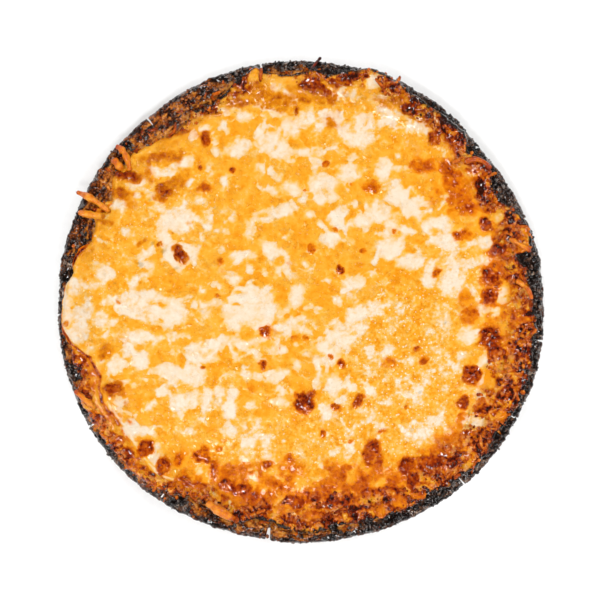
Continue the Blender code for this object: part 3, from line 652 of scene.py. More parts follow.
# Browned blisters: middle, length and width in photograph pixels, turn in degrees, and how browned.
blisters = [
    (180, 256, 18, 10, 115, 0.8), (158, 243, 7, 6, 0, 0.62), (304, 404, 24, 20, 70, 0.82),
    (313.5, 393, 8, 8, 0, 0.76), (358.8, 401.5, 16, 9, 40, 0.82), (336, 407.5, 10, 6, -35, 0.66),
    (373, 458, 28, 18, 100, 0.62), (373.5, 447, 15, 14, 0, 0.84), (383.5, 430.5, 12, 6, 30, 0.5),
    (266.5, 466.7, 10, 8, 0, 0.74), (290, 459, 7, 7, 0, 0.56), (324, 434.5, 9, 5, 90, 0.62),
    (218.5, 450, 7, 7, 0, 0.6), (201.4, 455.3, 18, 16, 0, 0.66), (212.8, 469.3, 22, 9, 90, 0.66),
    (144.6, 447.6, 16, 14, 90, 0.82), (163.7, 466.7, 16, 14, 90, 0.7), (177, 461.6, 9, 9, 0, 0.66),
    (184, 480.8, 14, 10, -45, 0.68), (114, 388.3, 18, 13, 10, 0.76), (105, 352, 21, 16, 50, 0.48),
    (117.8, 300.8, 8, 8, 0, 0.36), (66.1, 323.7, 7, 7, 0, 0.5), (187.3, 325, 9, 4, 0, 0.5),
    (216.9, 295.7, 6, 6, 0, 0.46), (206, 138.2, 14, 12, 90, 0.64), (127, 175.2, 20, 11, 0, 0.74),
    (167, 188, 32, 14, 30, 0.5), (162, 190, 14, 12, 0, 0.66), (203.3, 188.5, 18, 14, 0, 0.5),
    (164, 156, 46, 11, 10, 0.46), (120, 193, 22, 9, -8, 0.54), (105, 222, 18, 8, -10, 0.44),
    (185, 177, 26, 11, 80, 0.36), (140, 243, 18, 6, 50, 0.42), (199.4, 166.9, 6, 6, 0, 0.74),
    (231.3, 168.8, 6, 6, 0, 0.72), (296.9, 111.4, 7, 5, 90, 0.6), (325, 163.7, 7, 6, 90, 0.56),
    (370.9, 186.7, 22, 14, 0, 0.5), (305.9, 189.2, 7, 4, 0, 0.5), (351.8, 181.6, 4, 4, 0, 0.5),
    (340.3, 270.8, 8, 8, 0, 0.76), (312.2, 248.5, 12, 10, 0, 0.46), (363.3, 250.4, 8, 6, 0, 0.5),
    (264, 330.7, 11, 8, 90, 0.66), (294.4, 339, 8, 8, 0, 0.48), (304.3, 339, 7, 7, 0, 0.48),
    (263.5, 365.8, 10, 8, 90, 0.6), (280.4, 348.4, 7, 2, 90, 0.46), (202.8, 368.9, 4, 4, 0, 0.56),
    (342.3, 362.8, 8, 8, 0, 0.82), (330, 357, 5, 5, 0, 0.56), (251.6, 388, 14, 14, 0, 0.36),
    (219.8, 261.9, 8, 8, 0, 0.46), (395.2, 231.3, 6, 6, 0, 0.5), (334.6, 230.6, 6, 6, 0, 0.46),
    (389, 362.5, 16, 16, 0, 0.42), (352.3, 351.6, 10, 10, 0, 0.32), (417.4, 349, 8, 8, 0, 0.56),
    (425.3, 362.4, 8, 8, 0, 0.56), (407, 406.3, 5, 5, 0, 0.5), (351.5, 441, 5, 5, 0, 0.46),
    (437.5, 272.7, 8, 8, 0, 0.56), (464.2, 234.4, 20, 12, 0, 0.56), (489.7, 277.8, 20, 14, 0, 0.72),
    (492.3, 295, 20, 16, 90, 0.82), (469, 317, 24, 22, 0, 0.48), (466, 301, 22, 30, 0, 0.36),
    (492.2, 337.8, 28, 24, 90, 0.84), (496.7, 353, 18, 16, 90, 0.84), (473.1, 376, 20, 20, 0, 0.8),
    (505, 395.2, 22, 20, 0, 0.84), (498.6, 251, 20, 16, 0, 0.8), (487.1, 223, 16, 12, 90, 0.74),
    (512.7, 277.8, 14, 14, 0, 0.74), (452, 133, 42, 20, -58, 0.98), (444, 120, 18, 14, -45, 0.94),
    (434.8, 137, 14, 14, 0, 0.68), (411, 108, 26, 16, -10, 0.94), (394, 89, 26, 16, -35, 0.94),
    (418.3, 165, 20, 14, 0, 0.5), (482, 190, 24, 13, -70, 1.05), (468, 163, 11, 11, 0, 0.7),
    (482, 164, 22, 10, -50, 0.7), (492.3, 208.4, 12, 10, 0, 0.74), (451.4, 200.7, 6, 6, 0, 0.56),
    (308, 83, 24, 15, -10, 0.86), (318, 88, 16, 10, 0, 0.84), (344, 79, 32, 14, 10, 0.84),
    (240, 90, 30, 15, 15, 0.74), (233, 83, 14, 8, 40, 0.66), (322, 77, 14, 14, 90, 0.6),
    (325, 93, 11, 9, 0, 0.66), (325, 101, 16, 8, -10, 0.5), (275, 100, 36, 20, -10, 0.42),
    (386, 82, 14, 9, 0, 0.7), (425, 104, 16, 9, -30, 0.8), (365, 75, 20, 6, 0, 0.5),
    (261.2, 69.3, 10, 10, 0, 0.8), (463.5, 403, 14, 14, 0, 0.74), (487.1, 410.6, 22, 14, 0, 0.8),
    (466.7, 438.7, 26, 20, 90, 0.6), (447.2, 461.6, 30, 18, 0, 0.94), (428.5, 461.6, 16, 16, 0, 0.74),
    (469.3, 457.8, 16, 10, 0, 0.8), (406.8, 466.7, 20, 16, 90, 0.8), (414.4, 482, 20, 16, 90, 0.84),
    (387.7, 492.2, 26, 12, 0, 0.74), (294.4, 501.2, 24, 14, 0, 0.74), (312.2, 498.6, 20, 16, 0, 0.8),
    (337.8, 502.4, 34, 16, 0, 0.8), (244.6, 493.5, 34, 14, -15, 0.74), (226.8, 484.6, 16, 14, 0, 0.74),
    (268.9, 511.4, 12, 12, 0, 0.84), (322.4, 487, 40, 10, 20, 0.5), (198.2, 487.1, 22, 8, 0, 0.68),
    (122.9, 441.2, 14, 10, 90, 0.62), (80, 360, 22, 12, -30, 0.7), (72, 372, 18, 8, 110, 1.1),
    (80, 379, 12, 8, 0, 0.74), (91, 403, 14, 8, -50, 0.88), (101, 418, 12, 8, -45, 0.76),
    (112, 433, 14, 9, -45, 0.88), (128, 453, 14, 8, -40, 0.76), (236, 82, 16, 10, 20, 0.62),
    (330, 509, 24, 6, 0, 1.0), (352, 511, 22, 8, 0, 0.95), (509, 343, 5, 5, 0, 1.2),
    (517, 348, 5, 5, 0, 1.2), (374, 493, 30, 10, 0, 0.74), (362, 88, 10, 8, 0, 0.5),
    (305, 98, 12, 5, 0, 0.5), (515, 240, 20, 12, 90, 0.66), (487, 178, 18, 9, -65, 0.62),
]

# Where the browned ring stays fresh, as above: the last number is how browned it is there.
freshSpots = [
    (253, 77, 16, 8, 60, 0.1), (276, 84, 34, 14, -10, 0.1), (288, 94, 22, 9, -30, 0.04),
    (268, 100, 44, 18, -5, 0.26), (225, 108, 24, 9, 10, 0.06), (303, 93, 14, 12, 90, 0.16),
    (345, 93, 30, 16, 0, 0.06), (371, 84, 17, 14, 45, 0.02), (375, 96, 34, 12, -20, 0.12),
    (392, 113, 50, 18, -35, 0.06), (330, 96, 16, 10, 0, 0.3), (404, 100, 8, 6, 0, 0.2),
    (497, 216, 14, 12, 90, 0.05), (485, 243, 18, 18, 0, 0.06), (504, 267, 18, 9, 90, 0.1),
    (505, 294, 26, 14, 80, 0.04), (497, 312, 18, 8, 40, 0.04), (524, 249, 14, 6, 0, 0.34),
    (526, 230, 16, 8, 30, 0.36), (483, 363, 16, 12, -40, 0.04), (488, 383, 14, 12, 0, 0.14),
    (475, 422, 22, 9, 0, 0.04), (500, 415, 14, 12, 0, 0.24), (463, 420, 12, 12, 0, 0.2),
    (458, 187, 58, 22, -62, 0.27), (523, 320, 12, 8, 0, 0.3), (386, 470, 24, 14, 0, 0.1),
    (358, 490, 22, 12, 80, 0.1), (345, 503, 26, 8, 0, 0.28), (275, 495, 26, 13, 80, 0.1),
    (283, 510, 28, 8, 10, 0.24), (400, 502, 16, 14, 0, 0.32), (418, 495, 20, 7, -10, 0.3),
    (383, 510, 18, 11, 80, 0.34), (340, 476, 30, 12, 40, 0.32), (228, 470, 14, 12, 0, 0.1),
    (255, 480, 26, 10, 0, 0.06), (395, 480, 20, 10, 0, 0.16), (310, 516, 20, 12, 0, 0.4),
]


def cheeseEdge(angle):
    # the marks joined by straight lines, with small ragged scallops
    radius = betweenMarks(cheese["edge"], angle) * photo["pixel"]
    x, y = 120 * np.cos(angle), 120 * np.sin(angle)
    return radius + 0.55 * lumps(x, y, 0.0, 2.6, 31, 2)


def cheeseUnderside(radius, angle):
    return crustTop(radius, angle) + cheese["gap"] + cheese["rimGap"] * smooth(104, 108, radius)


def strongest(x, y, spots, low, high, least=0.0, wobble=0.0):
    # the strongest spot at each place: its last number inside low (1 is its border), nothing outside high
    most = np.full(np.shape(x), least)
    for spot in spots:
        tone = spot[5] if len(spot) > 5 else 1.0
        most = np.maximum(most, tone * (1 - smooth(low, high, reachOf(x, y, spot) + wobble)))
    return most


# Where pale and orange cheese are finely mixed: broad soft ellipses, as above, and how mixed.
mottledSpots = [
    (400, 350, 120, 150, 0, 1.0), (440, 400, 90, 110, 0, 1.0), (370, 430, 170, 90, 0, 0.9),
    (450, 280, 90, 120, 0, 0.55), (300, 450, 200, 70, 0, 0.6), (200, 410, 120, 90, 0, 0.45),
    (160, 200, 120, 110, 0, 0.55), (110, 300, 90, 150, 0, 0.45), (370, 120, 160, 70, 0, 0.5),
]


# Where the pool is tanned: as above, and how much; the wide band across the top, at (322, 112), is painted
# shade away from the lights below.
tanAndShadeSpots = [
    (300, 486, 300, 70, 0, 0.24), (340, 470, 120, 40, 15, 0.16), (448, 190, 50, 100, 20, 0.2),
    (200, 480, 110, 46, -30, 0.2), (322, 100, 60, 14, 0, 0.26), (322, 112, 250, 56, 0, 0.13),
    (242, 102, 44, 12, 10, 0.3), (398, 100, 22, 14, -40, 0.4), (165, 152, 110, 50, 40, 0.16),
    (500, 290, 46, 130, 0, 0.18), (440, 452, 110, 50, 40, 0.18), (120, 185, 40, 60, 0, 0.12),
    (88, 262, 30, 60, 0, 0.12), (120, 400, 40, 70, 30, 0.14), (250, 95, 60, 26, 20, 0.16),
    (408, 160, 60, 40, 0, 0.05), (454, 186, 30, 84, 25, 0.3), (166, 190, 50, 22, 38, 0.26),
    (465, 192, 62, 18, -67, 0.3), (443, 165, 40, 20, -30, 0.2), (519, 330, 34, 210, -8, 0.26),
]


def tanAndShadeAt(x, y):
    # in cloudy patches
    cloudy = np.clip(0.75 + 0.75 * lumps(x, y, 0.0, 8.0, 221, 3), 0.1, 1.5)
    return strongest(x, y, tanAndShadeSpots, 0.4, 1.2) * cloudy


# Grey-green flecks in the pale cheese, as above.
herbSpots = [
    (446, 323, 6, 4, 60), (420, 393, 5, 4, 0), (412, 431, 7, 4, -60), (360, 202, 4, 4, 0),
    (139, 264, 8, 5, -20), (104, 274, 6, 5, 0), (149, 200, 5, 4, 0), (162, 251, 8, 5, 0),
    (152, 243, 6, 4, 40), (114, 283, 5, 4, 0), (163, 196, 6, 4, 30), (176, 268, 6, 4, 0),
]


def herbAt(x, y):
    return strongest(x, y, herbSpots, 0.3, 1.2, 0.0, 0.35 * lumps(x, y, 0.0, 1.8, 225, 2))


def mottleAt(x, y):
    return strongest(x, y, mottledSpots, 0.55, 1.25, 0.12)


def paleDepth(x, y):
    # how deep in the pale cheese a place lies, in millimetres, negative in the orange: the deepest of all
    # patches, less the orange strands, with shred-shaped wobbles on every border and cloudy mixing
    deepest = np.full(np.shape(x), -9.0)
    for spot in paleSpots:
        deepest = np.maximum(deepest, (1.12 - reachOf(x, y, spot)) * 0.5 * spot[3] * photo["pixel"])
    for spot in orangeSpots:
        deepest = np.minimum(deepest, (reachOf(x, y, spot) - 1) * 0.5 * spot[3] * photo["pixel"])
    mottle = mottleAt(x, y)
    deepest = np.clip(deepest, -2.0, 2.2) * (1 - 0.45 * mottle)
    draw = np.random.default_rng(41)
    for _ in range(cheese["wobbles"]):
        away, turn = 115 * math.sqrt(draw.random()), draw.random() * math.tau
        spot = (photo["middle"][0] + away * math.cos(turn) / photo["pixel"],
                photo["middle"][1] - away * math.sin(turn) / photo["pixel"],
                draw.uniform(14, 36), draw.uniform(4, 8), draw.uniform(0, 180))
        push = draw.choice([-1.0, 1.0]) * draw.uniform(0.7, 1.7)
        deepest = deepest + push * (1 - smooth(0.7, 1.15, reachOf(x, y, spot)))
    cloudy = lumps(x, y, 0.0, 5.2, 191, 2) * (0.5 + 1.3 * mottle) + 0.2 * mottle
    return deepest + cloudy


def blistersAt(x, y, ragged):
    # the strongest browning, halo and rise in millimetres of all blisters at each place, and 1 inside one: a
    # blister rises as a paraboloid, and is painted darker on its upper side, as shade away from the lights
    # below
    toast, halo, rise, inSpot = (np.zeros_like(x) for _ in range(4))
    for spot in blisters:
        tone, width = spot[5], spot[3] * photo["pixel"]
        soft = np.clip((0.66 - tone) / 0.3, 0.0, 1.0)      # the paler ones fade out slowly
        reach = reachOf(x, y, spot) + ragged * min(1.0, 15 / spot[3]) * (1 - 0.6 * soft)
        inside = 1 - smooth(0.78 - 0.5 * soft, 1.08 + 0.4 * soft, reach)
        # the upper side is painted darker: shade away from the lights below
        above = np.clip((y - fromPhoto(spot[0], spot[1])[1]) / (0.5 * width), -1, 1)
        # the darkest are darkest in their middle, the others at their border
        profile = 1.08 - 0.2 * reach if tone > 0.78 else 0.9 + (0.24 - 0.34 * soft) * reach
        browned = (0.86 * tone - 0.04) * inside
        toast = np.maximum(toast, browned * np.clip(profile + 0.12 * above, 0.5, 1.15))
        glow = 0.62 * max(tone - 0.24, 0.0)
        halo = np.maximum(halo, glow * (1 - smooth(0.7, 1.3 + 5 / spot[3], reach)))
        rise = np.maximum(rise, cheese["blisterRise"] * width * tone * np.clip(1.1 - reach ** 2, 0, 1))
        inSpot = np.maximum(inSpot, inside)
    return toast, halo, rise, inSpot


def meltedSurface(x, y):
    # all that is known of the cheese's upper side at places in millimetres: its height and its fields
    size = cheese
    radius, angle = np.hypot(x, y), np.arctan2(y, x)
    degrees = np.degrees(angle) % 360
    edge = cheeseEdge(angle)
    share = radius / edge
    swayedX = x + size["sway"] * lumps(x, y, 0.0, 6.0, 51, 3)
    swayedY = y + size["sway"] * lumps(x, y, 0.0, 6.0, 61, 3)
    # browning grows from where it starts to the edge, except inside the smooth lip on the left
    lipWeight = stretch(degrees, 117, 127, 236, 246)
    pastLip = radius - betweenMarks(size["lip"], angle) + 0.5 * lumps(x, y, 0.0, 4.0, 71, 2)
    inLip = lipWeight * (1 - smooth(-0.8, 0.8, pastLip))
    start = around(size["browning"], angle) + 2.5 * lumps(x, y, 0.0, 9.0, 81, 2)
    ring = np.clip((radius - start) / np.maximum(edge - start, 4.0), 0, 1.1) * (1 - inLip)
    # outside the lip comes a strip that is only tanned
    strip = lipWeight * (1 - smooth(3.0, 5.5, pastLip + 1.6 * lumps(x, y, 0.0, 5.0, 106, 2))) * (1 - inLip)
    strip = strip * (1 - 0.75 * smooth(212, 220, degrees))
    ring = ring * (1 - 0.85 * strip)
    # bubbles: cells with domes, the darker ones more often further out
    near, second, own = cells(swayedX, swayedY, None, size["bubbles"], 91)
    rimOfCell = smooth(0.02, 0.3, second - near)
    isDark = smooth(0.8 * own + 0.02, 0.8 * own + 0.3, ring)
    tone = scrambled(np.floor(own * 9973), 3, 5, 7)
    dome = np.clip(1 - (near / 0.7) ** 2, 0, 1) * rimOfCell
    # crumbly fried cheese outside the bubbles
    blotchy = ring + 0.2 * lumps(x, y, 0.0, 8.0, 101, 2)
    shard = ridges(swayedX, swayedY, 0.0, size["shards"], 111, 2)
    grit = ridges(x, y, 0.0, size["grit"], 121, 2)
    # listed blisters with ragged borders, and fresh spots
    ragged = size["ragged"] * lumps(x, y, 0.0, 3.2, 131, 3)
    spotToast, halo, spotRise, inSpot = blistersAt(swayedX, swayedY, ragged)
    outlines = [spot[:5] for spot in freshSpots]
    fresh = strongest(swayedX, swayedY, outlines, 0.75, 1.2, 0.0, 0.6 * ragged)
    level = strongest(swayedX, swayedY, freshSpots, 0.75, 1.2, 0.0, 0.6 * ragged)
    crumbly = smooth(0.2, 0.65, blotchy) * (1 - 0.9 * fresh)
    # browning, from 0 (gold) to 1 (black): the strongest of all kinds
    bubbleToast = isDark * (0.46 + 0.36 * tone) * (0.2 + 0.8 * rimOfCell) * (1 - inSpot)
    patchy = lumps(x, y, 0.0, 7.0, 211, 2)
    speckled = np.clip(0.88 - 0.52 * shard + 0.2 * (0.6 - grit) + 0.26 * patchy, 0.15, 0.8)
    crumbToast = smooth(0.42, 0.8, blotchy) * speckled
    crumbToast = crumbToast * (1 - 0.8 * inSpot) * (1 - 0.35 * smooth(80, 100, y))
    ringToast = smooth(0.0, 0.6, ring + 0.2 * lumps(x, y, 0.0, 7.0, 105, 3)) * 0.3
    ringToast = np.maximum(ringToast, strip * (0.25 + 0.22 * lumps(x, y, 0.0, 3.4, 146, 2)))
    browned = np.maximum(np.maximum(bubbleToast, crumbToast), np.maximum(halo, ringToast))
    toast = np.maximum(spotToast, browned * (1 - fresh) + level)
    toast = np.maximum(toast, tanAndShadeAt(x, y) * (1 - smooth(0.1, 0.4, toast)) + toast)
    # the lip: a rounded step down into a groove, painted dark as the shade in it, then the fried strip
    # outside it
    groove = lipWeight * np.exp(-((pastLip - 0.7) / 0.75) ** 2) * (1 - 0.6 * smooth(208, 216, degrees))
    groove = groove * np.clip(0.75 + 0.6 * lumps(x, y, 0.0, 3.0, 145, 2), 0.2, 1.0)
    toast = np.maximum(toast, groove * size["grooveShade"])
    drop = size["lipDrop"] * smooth(-1.8, 0.5, pastLip) - size["lipRise"] * smooth(0.9, 2.6, pastLip)
    crisp = smooth(size["crispStart"], 1.0, share)
    crispThickness = size["thickness"] + (size["edgeThickness"] - size["thickness"]) * crisp
    # the lip's thickness follows a quarter circle at its edge
    past = (np.clip(share - (1 - size["lipRound"]), 0, 1) / size["lipRound"]) ** 2
    least, added = size["lipThickness"]
    roundThickness = least + added * np.sqrt(np.clip(1 - past, 0, 1))
    thickness = crispThickness + (roundThickness - crispThickness) * lipWeight
    # relief: blisters, bubbles, crumbs, broad waves and fine wrinkles
    bubbleRise = isDark * dome * (0.7 + 0.7 * tone) * (1 - inSpot) * (1 - 0.6 * crumbly)
    crumbRise = crumbly * (1.5 * (shard - 0.35) + 0.6 * (grit - 0.4)) * (1 - 0.7 * inSpot)
    wave = 0.35 * lumps(x, y, 0.0, 22.0, 141, 2) + 0.14 * lumps(x, y, 0.0, 5.0, 151, 2)
    wrinkle = 0.16 * smooth(0.4, 0.75, toast) * (ridges(x, y, 0.0, 1.6, 161, 2) - 0.5)
    rise = spotRise + bubbleRise + crumbRise + wave + wrinkle - lipWeight * drop
    # browning is a little olive in the upper left, and red elsewhere; the top ring gets the olive ramp as
    # painted shade, darker away from the lights below
    olive = 0.6 * smooth(-70, -40, y) * (1 - smooth(-62, -46, x)) * (1 - 0.7 * smooth(0.0, 0.4, ring))
    return {
        "height": cheeseUnderside(radius, angle) + np.maximum(thickness + rise, size["leastThickness"]),
        "radius": radius, "angle": angle, "edge": edge, "toast": toast, "crumbly": crumbly, "spot": inSpot,
        # the top ring's share is painted shade away from the lights below
        "olive": np.maximum(olive * (1 - strip), 0.75 * smooth(80, 96, y)),
        "char": crumbly * smooth(0.97, 1.0, share) * (1 - lipWeight),
        "lip": lipWeight, "inLip": inLip, "pastLip": pastLip,
    }


def makeCheese():
    # a square grid bent into a disc, squares to rings, with closer cells near the edge; a rounded side and
    # a plain underside close it
    size = cheese["cells"]
    line = np.linspace(-1, 1, size + 1)
    u, v = np.meshgrid(line, line, indexing="ij")
    wide = np.abs(u) >= np.abs(v)
    major, minor = np.where(wide, u, v), np.where(wide, v, u)
    slant = math.pi / 4 * np.divide(minor, major, out=np.zeros_like(u), where=major != 0)
    angle = np.where(wide, slant, math.pi / 2 - slant) + np.where(major < 0, math.pi, 0)
    share = np.abs(major) * (1 + cheese["crowding"] * (1 - np.abs(major)))
    radius = cheeseEdge(angle) * share
    x, y = radius * np.cos(angle), radius * np.sin(angle)
    surface = meltedSurface(x, y)
    top = np.stack([x, y, surface["height"]], -1).reshape(-1, 3)
    i, j = (k.ravel() for k in np.meshgrid(np.arange(size), np.arange(size), indexing="ij"))
    row = size + 1
    quads = np.stack([i * row + j, (i + 1) * row + j, (i + 1) * row + j + 1, i * row + j + 1], -1)
    # the border of the grid, anticlockwise
    k = np.arange(size)
    border = np.concatenate([k * row, size * row + k, (size - k) * row + size, size - k])
    count = len(border)
    bx, by, bz = top[border].T
    turn, away = np.arctan2(by, bx), np.hypot(bx, by)
    low = cheeseUnderside(away, turn) - cheese["sink"]
    rings = []
    for part in cheese["sideRings"]:      # the side bulges a little between its top and its foot
        out = away + cheese["bulge"] * (bz - low) * math.sin(math.pi * part)
        rings.append(np.stack([out * np.cos(turn), out * np.sin(turn), bz + (low - bz) * part], -1))
    for inward in cheese["underRings"]:
        r = away * inward
        z = cheeseUnderside(r, turn) - cheese["sink"]
        rings.append(np.stack([r * np.cos(turn), r * np.sin(turn), z], -1))
    points = np.concatenate([top] + rings + [[[0, 0, crust["floorHeight"] + cheese["sink"]]]])
    ids = np.concatenate([border, len(top) + np.arange(len(rings) * count)])
    sides = ids[ringFaces(len(rings) + 1, count)]
    here = np.arange(count)
    last = ids[-count:]
    cap = np.stack([last[here], np.full(count, len(points) - 1), last[(here + 1) % count]], -1)
    quads = np.concatenate([quads, sides])
    x, y = points[:, 0], points[:, 1]
    pale = paleDepth(x + 0.8 * lumps(x, y, 0.0, 4.2, 171, 2), y + 0.8 * lumps(x, y, 0.0, 4.2, 181, 2))
    surface = meltedSurface(x, y)
    # a pale line runs along the lower part of the lip
    onLip = stretch(np.degrees(surface["angle"]) % 360, 204, 212, 232, 240)
    pale = np.maximum(pale, onLip * (2.4 * np.exp(-((surface["pastLip"] + 1.3) / 0.8) ** 2)) - 0.9)
    fields = {name: surface[name] for name in ("toast", "crumbly", "char", "olive")}
    fields.update(pale=pale, mottle=mottleAt(x, y), herb=herbAt(x, y))
    piece = addPiece("meltedCheese", points, quads, cap, fields, cheeseFinish(), "cheese")
    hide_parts("cheese")


def toastedColor(finish, toast):
    # baked cheese from gold through red-brown to black
    return finish.ramp(toast, [
        (0.0, 254, 174, 44), (0.14, 248, 154, 24), (0.28, 236, 128, 8),
        (0.42, 216, 100, 4), (0.55, 190, 76, 2), (0.67, 162, 52, 0), (0.8, 124, 30, 0),
        (0.95, 58, 12, 2)])


def cheeseFinish():
    finish = Finish("meltedCheese", Roughness=0.3, Coat_Roughness=0.05, Specular_IOR_Level=0.22)
    fine, middle, broad = finish.noise(1.6, 2), finish.noise(3.6, 2, 0.4), finish.noise(11, 3)
    crumbly, mottle, toast = finish.field("crumbly"), finish.field("mottle"), finish.field("toast")
    # pale cheese by depth in millimetres; its border is sharp here and wide there, yellower than its middle
    depth = finish.field("pale") + (finish.noise(4.2, 0.6, 1.1) - 0.5) * 3.6
    depth = depth + (fine - 0.5) * (mottle * 2.2 + 0.3)
    reach = mottle + (finish.noise(7, 1) - 0.38).between(0.0, 0.3) * 1.3 + 0.4
    share = depth.between(reach * -1.0, reach)
    tint = share * 0.42 + depth.between(0.2, 2.8) * 0.25 + (middle - 0.5) * 0.45 + 0.13
    tint = tint + (fine - 0.5) * (mottle * 0.55 + 0.1) + (broad - 0.5) * 0.4
    base = finish.ramp(tint, [
        (0.0, 246, 150, 20), (0.12, 254, 170, 41), (0.26, 254, 183, 62), (0.42, 252, 197, 108),
        (0.57, 250, 210, 156), (0.72, 250, 223, 190), (0.92, 250, 236, 214)])
    # small near-white flecks: painted glints on the fat where the cheese is mottled
    bright = (0.17 - finish.pores(2.1) + (fine - 0.5) * 0.3 + mottle * 0.05).between(0.0, 0.07)
    base = finish.mix(bright * (mottle * 0.7 + 0.1), base, shown(255, 243, 220))
    # browning is blotchy, most of all where the cheese is fried to crumbs, and painted darker in the crevices
    # between crumbs as shade
    gap, grain, patch = finish.pores(2.8, "DISTANCE_TO_EDGE"), finish.noise(1.7, 2), finish.noise(7.5, 2, 0.5)
    toast = toast + (middle - 0.5) * 0.8 * toast.between(0.04, 0.35) + (fine - 0.5) * 0.8 * toast
    blotchesAndCreviceShade = (finish.scraps(2.8) - 0.58) * 0.4 + (0.1 - gap).between(0.0, 0.1) * 0.14 + (grain - 0.5) * 0.6
    toast = toast + crumbly * (blotchesAndCreviceShade + patch.between(0.36, 0.64) * 0.48 - 0.26)
    toast = toast + (finish.scraps(1.3) - 0.5) * 0.26 * toast.between(0.3, 0.6)
    toast = toast + (broad - 0.55).between(0.0, 0.14) * 0.12
    # the olive ramp: olive browning in the upper left, and painted shade over the top ring
    olive = finish.ramp(toast, [
        (0.0, 252, 174, 48), (0.14, 238, 158, 30), (0.28, 224, 136, 14), (0.42, 200, 108, 4),
        (0.55, 174, 82, 0), (0.7, 138, 52, 0), (0.9, 78, 22, 0)])
    oliveAndShadeShare = finish.field("olive") * (1 - toast.between(0.42, 0.62) * 0.8)
    toasted = finish.mix(oliveAndShadeShare, toastedColor(finish, toast), olive)
    browned = (toast - share * (crumbly * 0.1 + 0.04)).between(0.05, 0.26)
    color = finish.mix(browned, base, toasted)
    # light crumbs among the browned ones, tinted partly as painted highlights
    fleck = (finish.scraps(1.9, 1) + (grain - 0.5) * 0.6 - 0.72).between(0.0, 0.12)
    fleck = fleck * crumbly * (0.75 - toast).between(0.0, 0.25)
    color = finish.mix(fleck * (0.5 - finish.field("olive") * 0.4), color, shown(246, 172, 100))
    # charred edges, and the grey-green flecks
    charred = (finish.field("char") + (middle - 0.5) * 1.3).between(0.5, 1.0)
    color = finish.mix(charred, color, shown(34, 24, 20))
    finish.feed("Base Color", finish.mix(finish.field("herb") * 0.4, color, shown(140, 112, 50)))
    finish.feed("Roughness", (fine - 0.3) * 0.3 + 0.05)
    finish.feed("Coat Weight", toast.between(0.2, 0.6) * 0.6 + 0.2)
    # small flat facets glint, in the pool only here and there
    rough = crumbly.above(toast.between(0.22, 0.55)) * 0.85 + 0.15
    facets = finish.facets(1.3)
    glinting = (finish.noise(8, 3) + mottle * 0.1 - 0.52).between(0.0, 0.06)
    relief = (middle * 0.5 + crumbly * (gap * 0.8 + grain * 0.3) + facets * 0.9) * rough
    finish.relief(relief + facets * glinting * (0.6 - share * 0.35) + share * 0.16, 1.0)
    return finish


scatter = {
    "between": (92.0, 128.5),      # radii where places are drawn
    "tries": 14,             # how many places are drawn for each one that is wanted
    "shards": 700,           # flat scraps of fried cheese
    "shardSize": (0.9, 3.2),
    "shardThickness": (0.3, 0.6),
    "strands": 60,           # thin shreds of it
    "strandLength": (3.0, 8.0),
    "strandWidth": (1.2, 2.2),
    "strandFlatness": 0.6,
    "strandSides": 5,
    "strandSteps": 6,
    "grit": 1200,            # charred scraps on the bare rim
    "gritSize": (0.8, 2.6),
    "gritThickness": (0.4, 0.8),
    "crumbRings": 4,
    "crumbSides": 6,
}


def topHeight(x, y):
    # the height and the fields of whatever lies on top: the cheese, or the bare rim outside it
    surface = meltedSurface(x, y)
    radius, angle, edge = surface["radius"], surface["angle"], surface["edge"]
    dough = crustTop(radius, angle)
    bare = dough - cragDepth(x, y, dough, radius, edge)
    surface["height"] = np.where(radius < edge, surface["height"], bare)
    surface["outside"] = radius - edge
    surface["slope"] = (radius - edge) / np.maximum(outlineAt(angle) - edge, 1.0)
    surface["dark"] = darkSide(x, y)
    return surface


def scatterPlaces(count, draw, chance):
    # even random places in the outer part of the disc, kept by their chance
    inner, outer = scatter["between"]
    away = np.sqrt(draw.uniform(inner ** 2, outer ** 2, count * scatter["tries"]))
    turn = draw.uniform(0, math.tau, len(away))
    x, y = away * np.cos(turn), away * np.sin(turn)
    surface = topHeight(x, y)
    kept = np.flatnonzero(draw.random(len(x)) < chance(surface))[:count]
    return x[kept], y[kept], {name: values[kept] for name, values in surface.items()}


def friedChance(surface):
    # crumbs lie on the fried cheese between the blisters and, on the left, on the dough's brown slope
    onCheese = surface["crumbly"] * (surface["outside"] < 0.8)
    pastLip = (1 - surface["inLip"]) * (surface["pastLip"] > 1.2)
    onCheese = np.where(surface["lip"] > 0.5, onCheese * pastLip, onCheese)
    onSlope = (1 - surface["dark"]) * (surface["outside"] > 0.2) * (1 - smooth(0.45, 0.8, surface["slope"]))
    return np.clip(onCheese * (1 - 0.85 * surface["spot"]) + 0.8 * onSlope, 0, 1)


def bareChance(surface):
    # grit lies on the bare rim, most of it where that is charred
    inside = surface["radius"] < outlineAt(surface["angle"]) - 0.6
    return (surface["outside"] > 0.1) * inside * (0.1 + 0.9 * surface["dark"])


def scraps(draw, count, size, thick):
    # random lengths, most of them short, and all three sizes
    low, high = size
    length = low + (high - low) * draw.random(count) ** 2
    wide, deep = draw.uniform(0.5, 0.9, count), draw.uniform(*thick, count)
    return length, np.stack([length, length * wide, length * deep], -1)


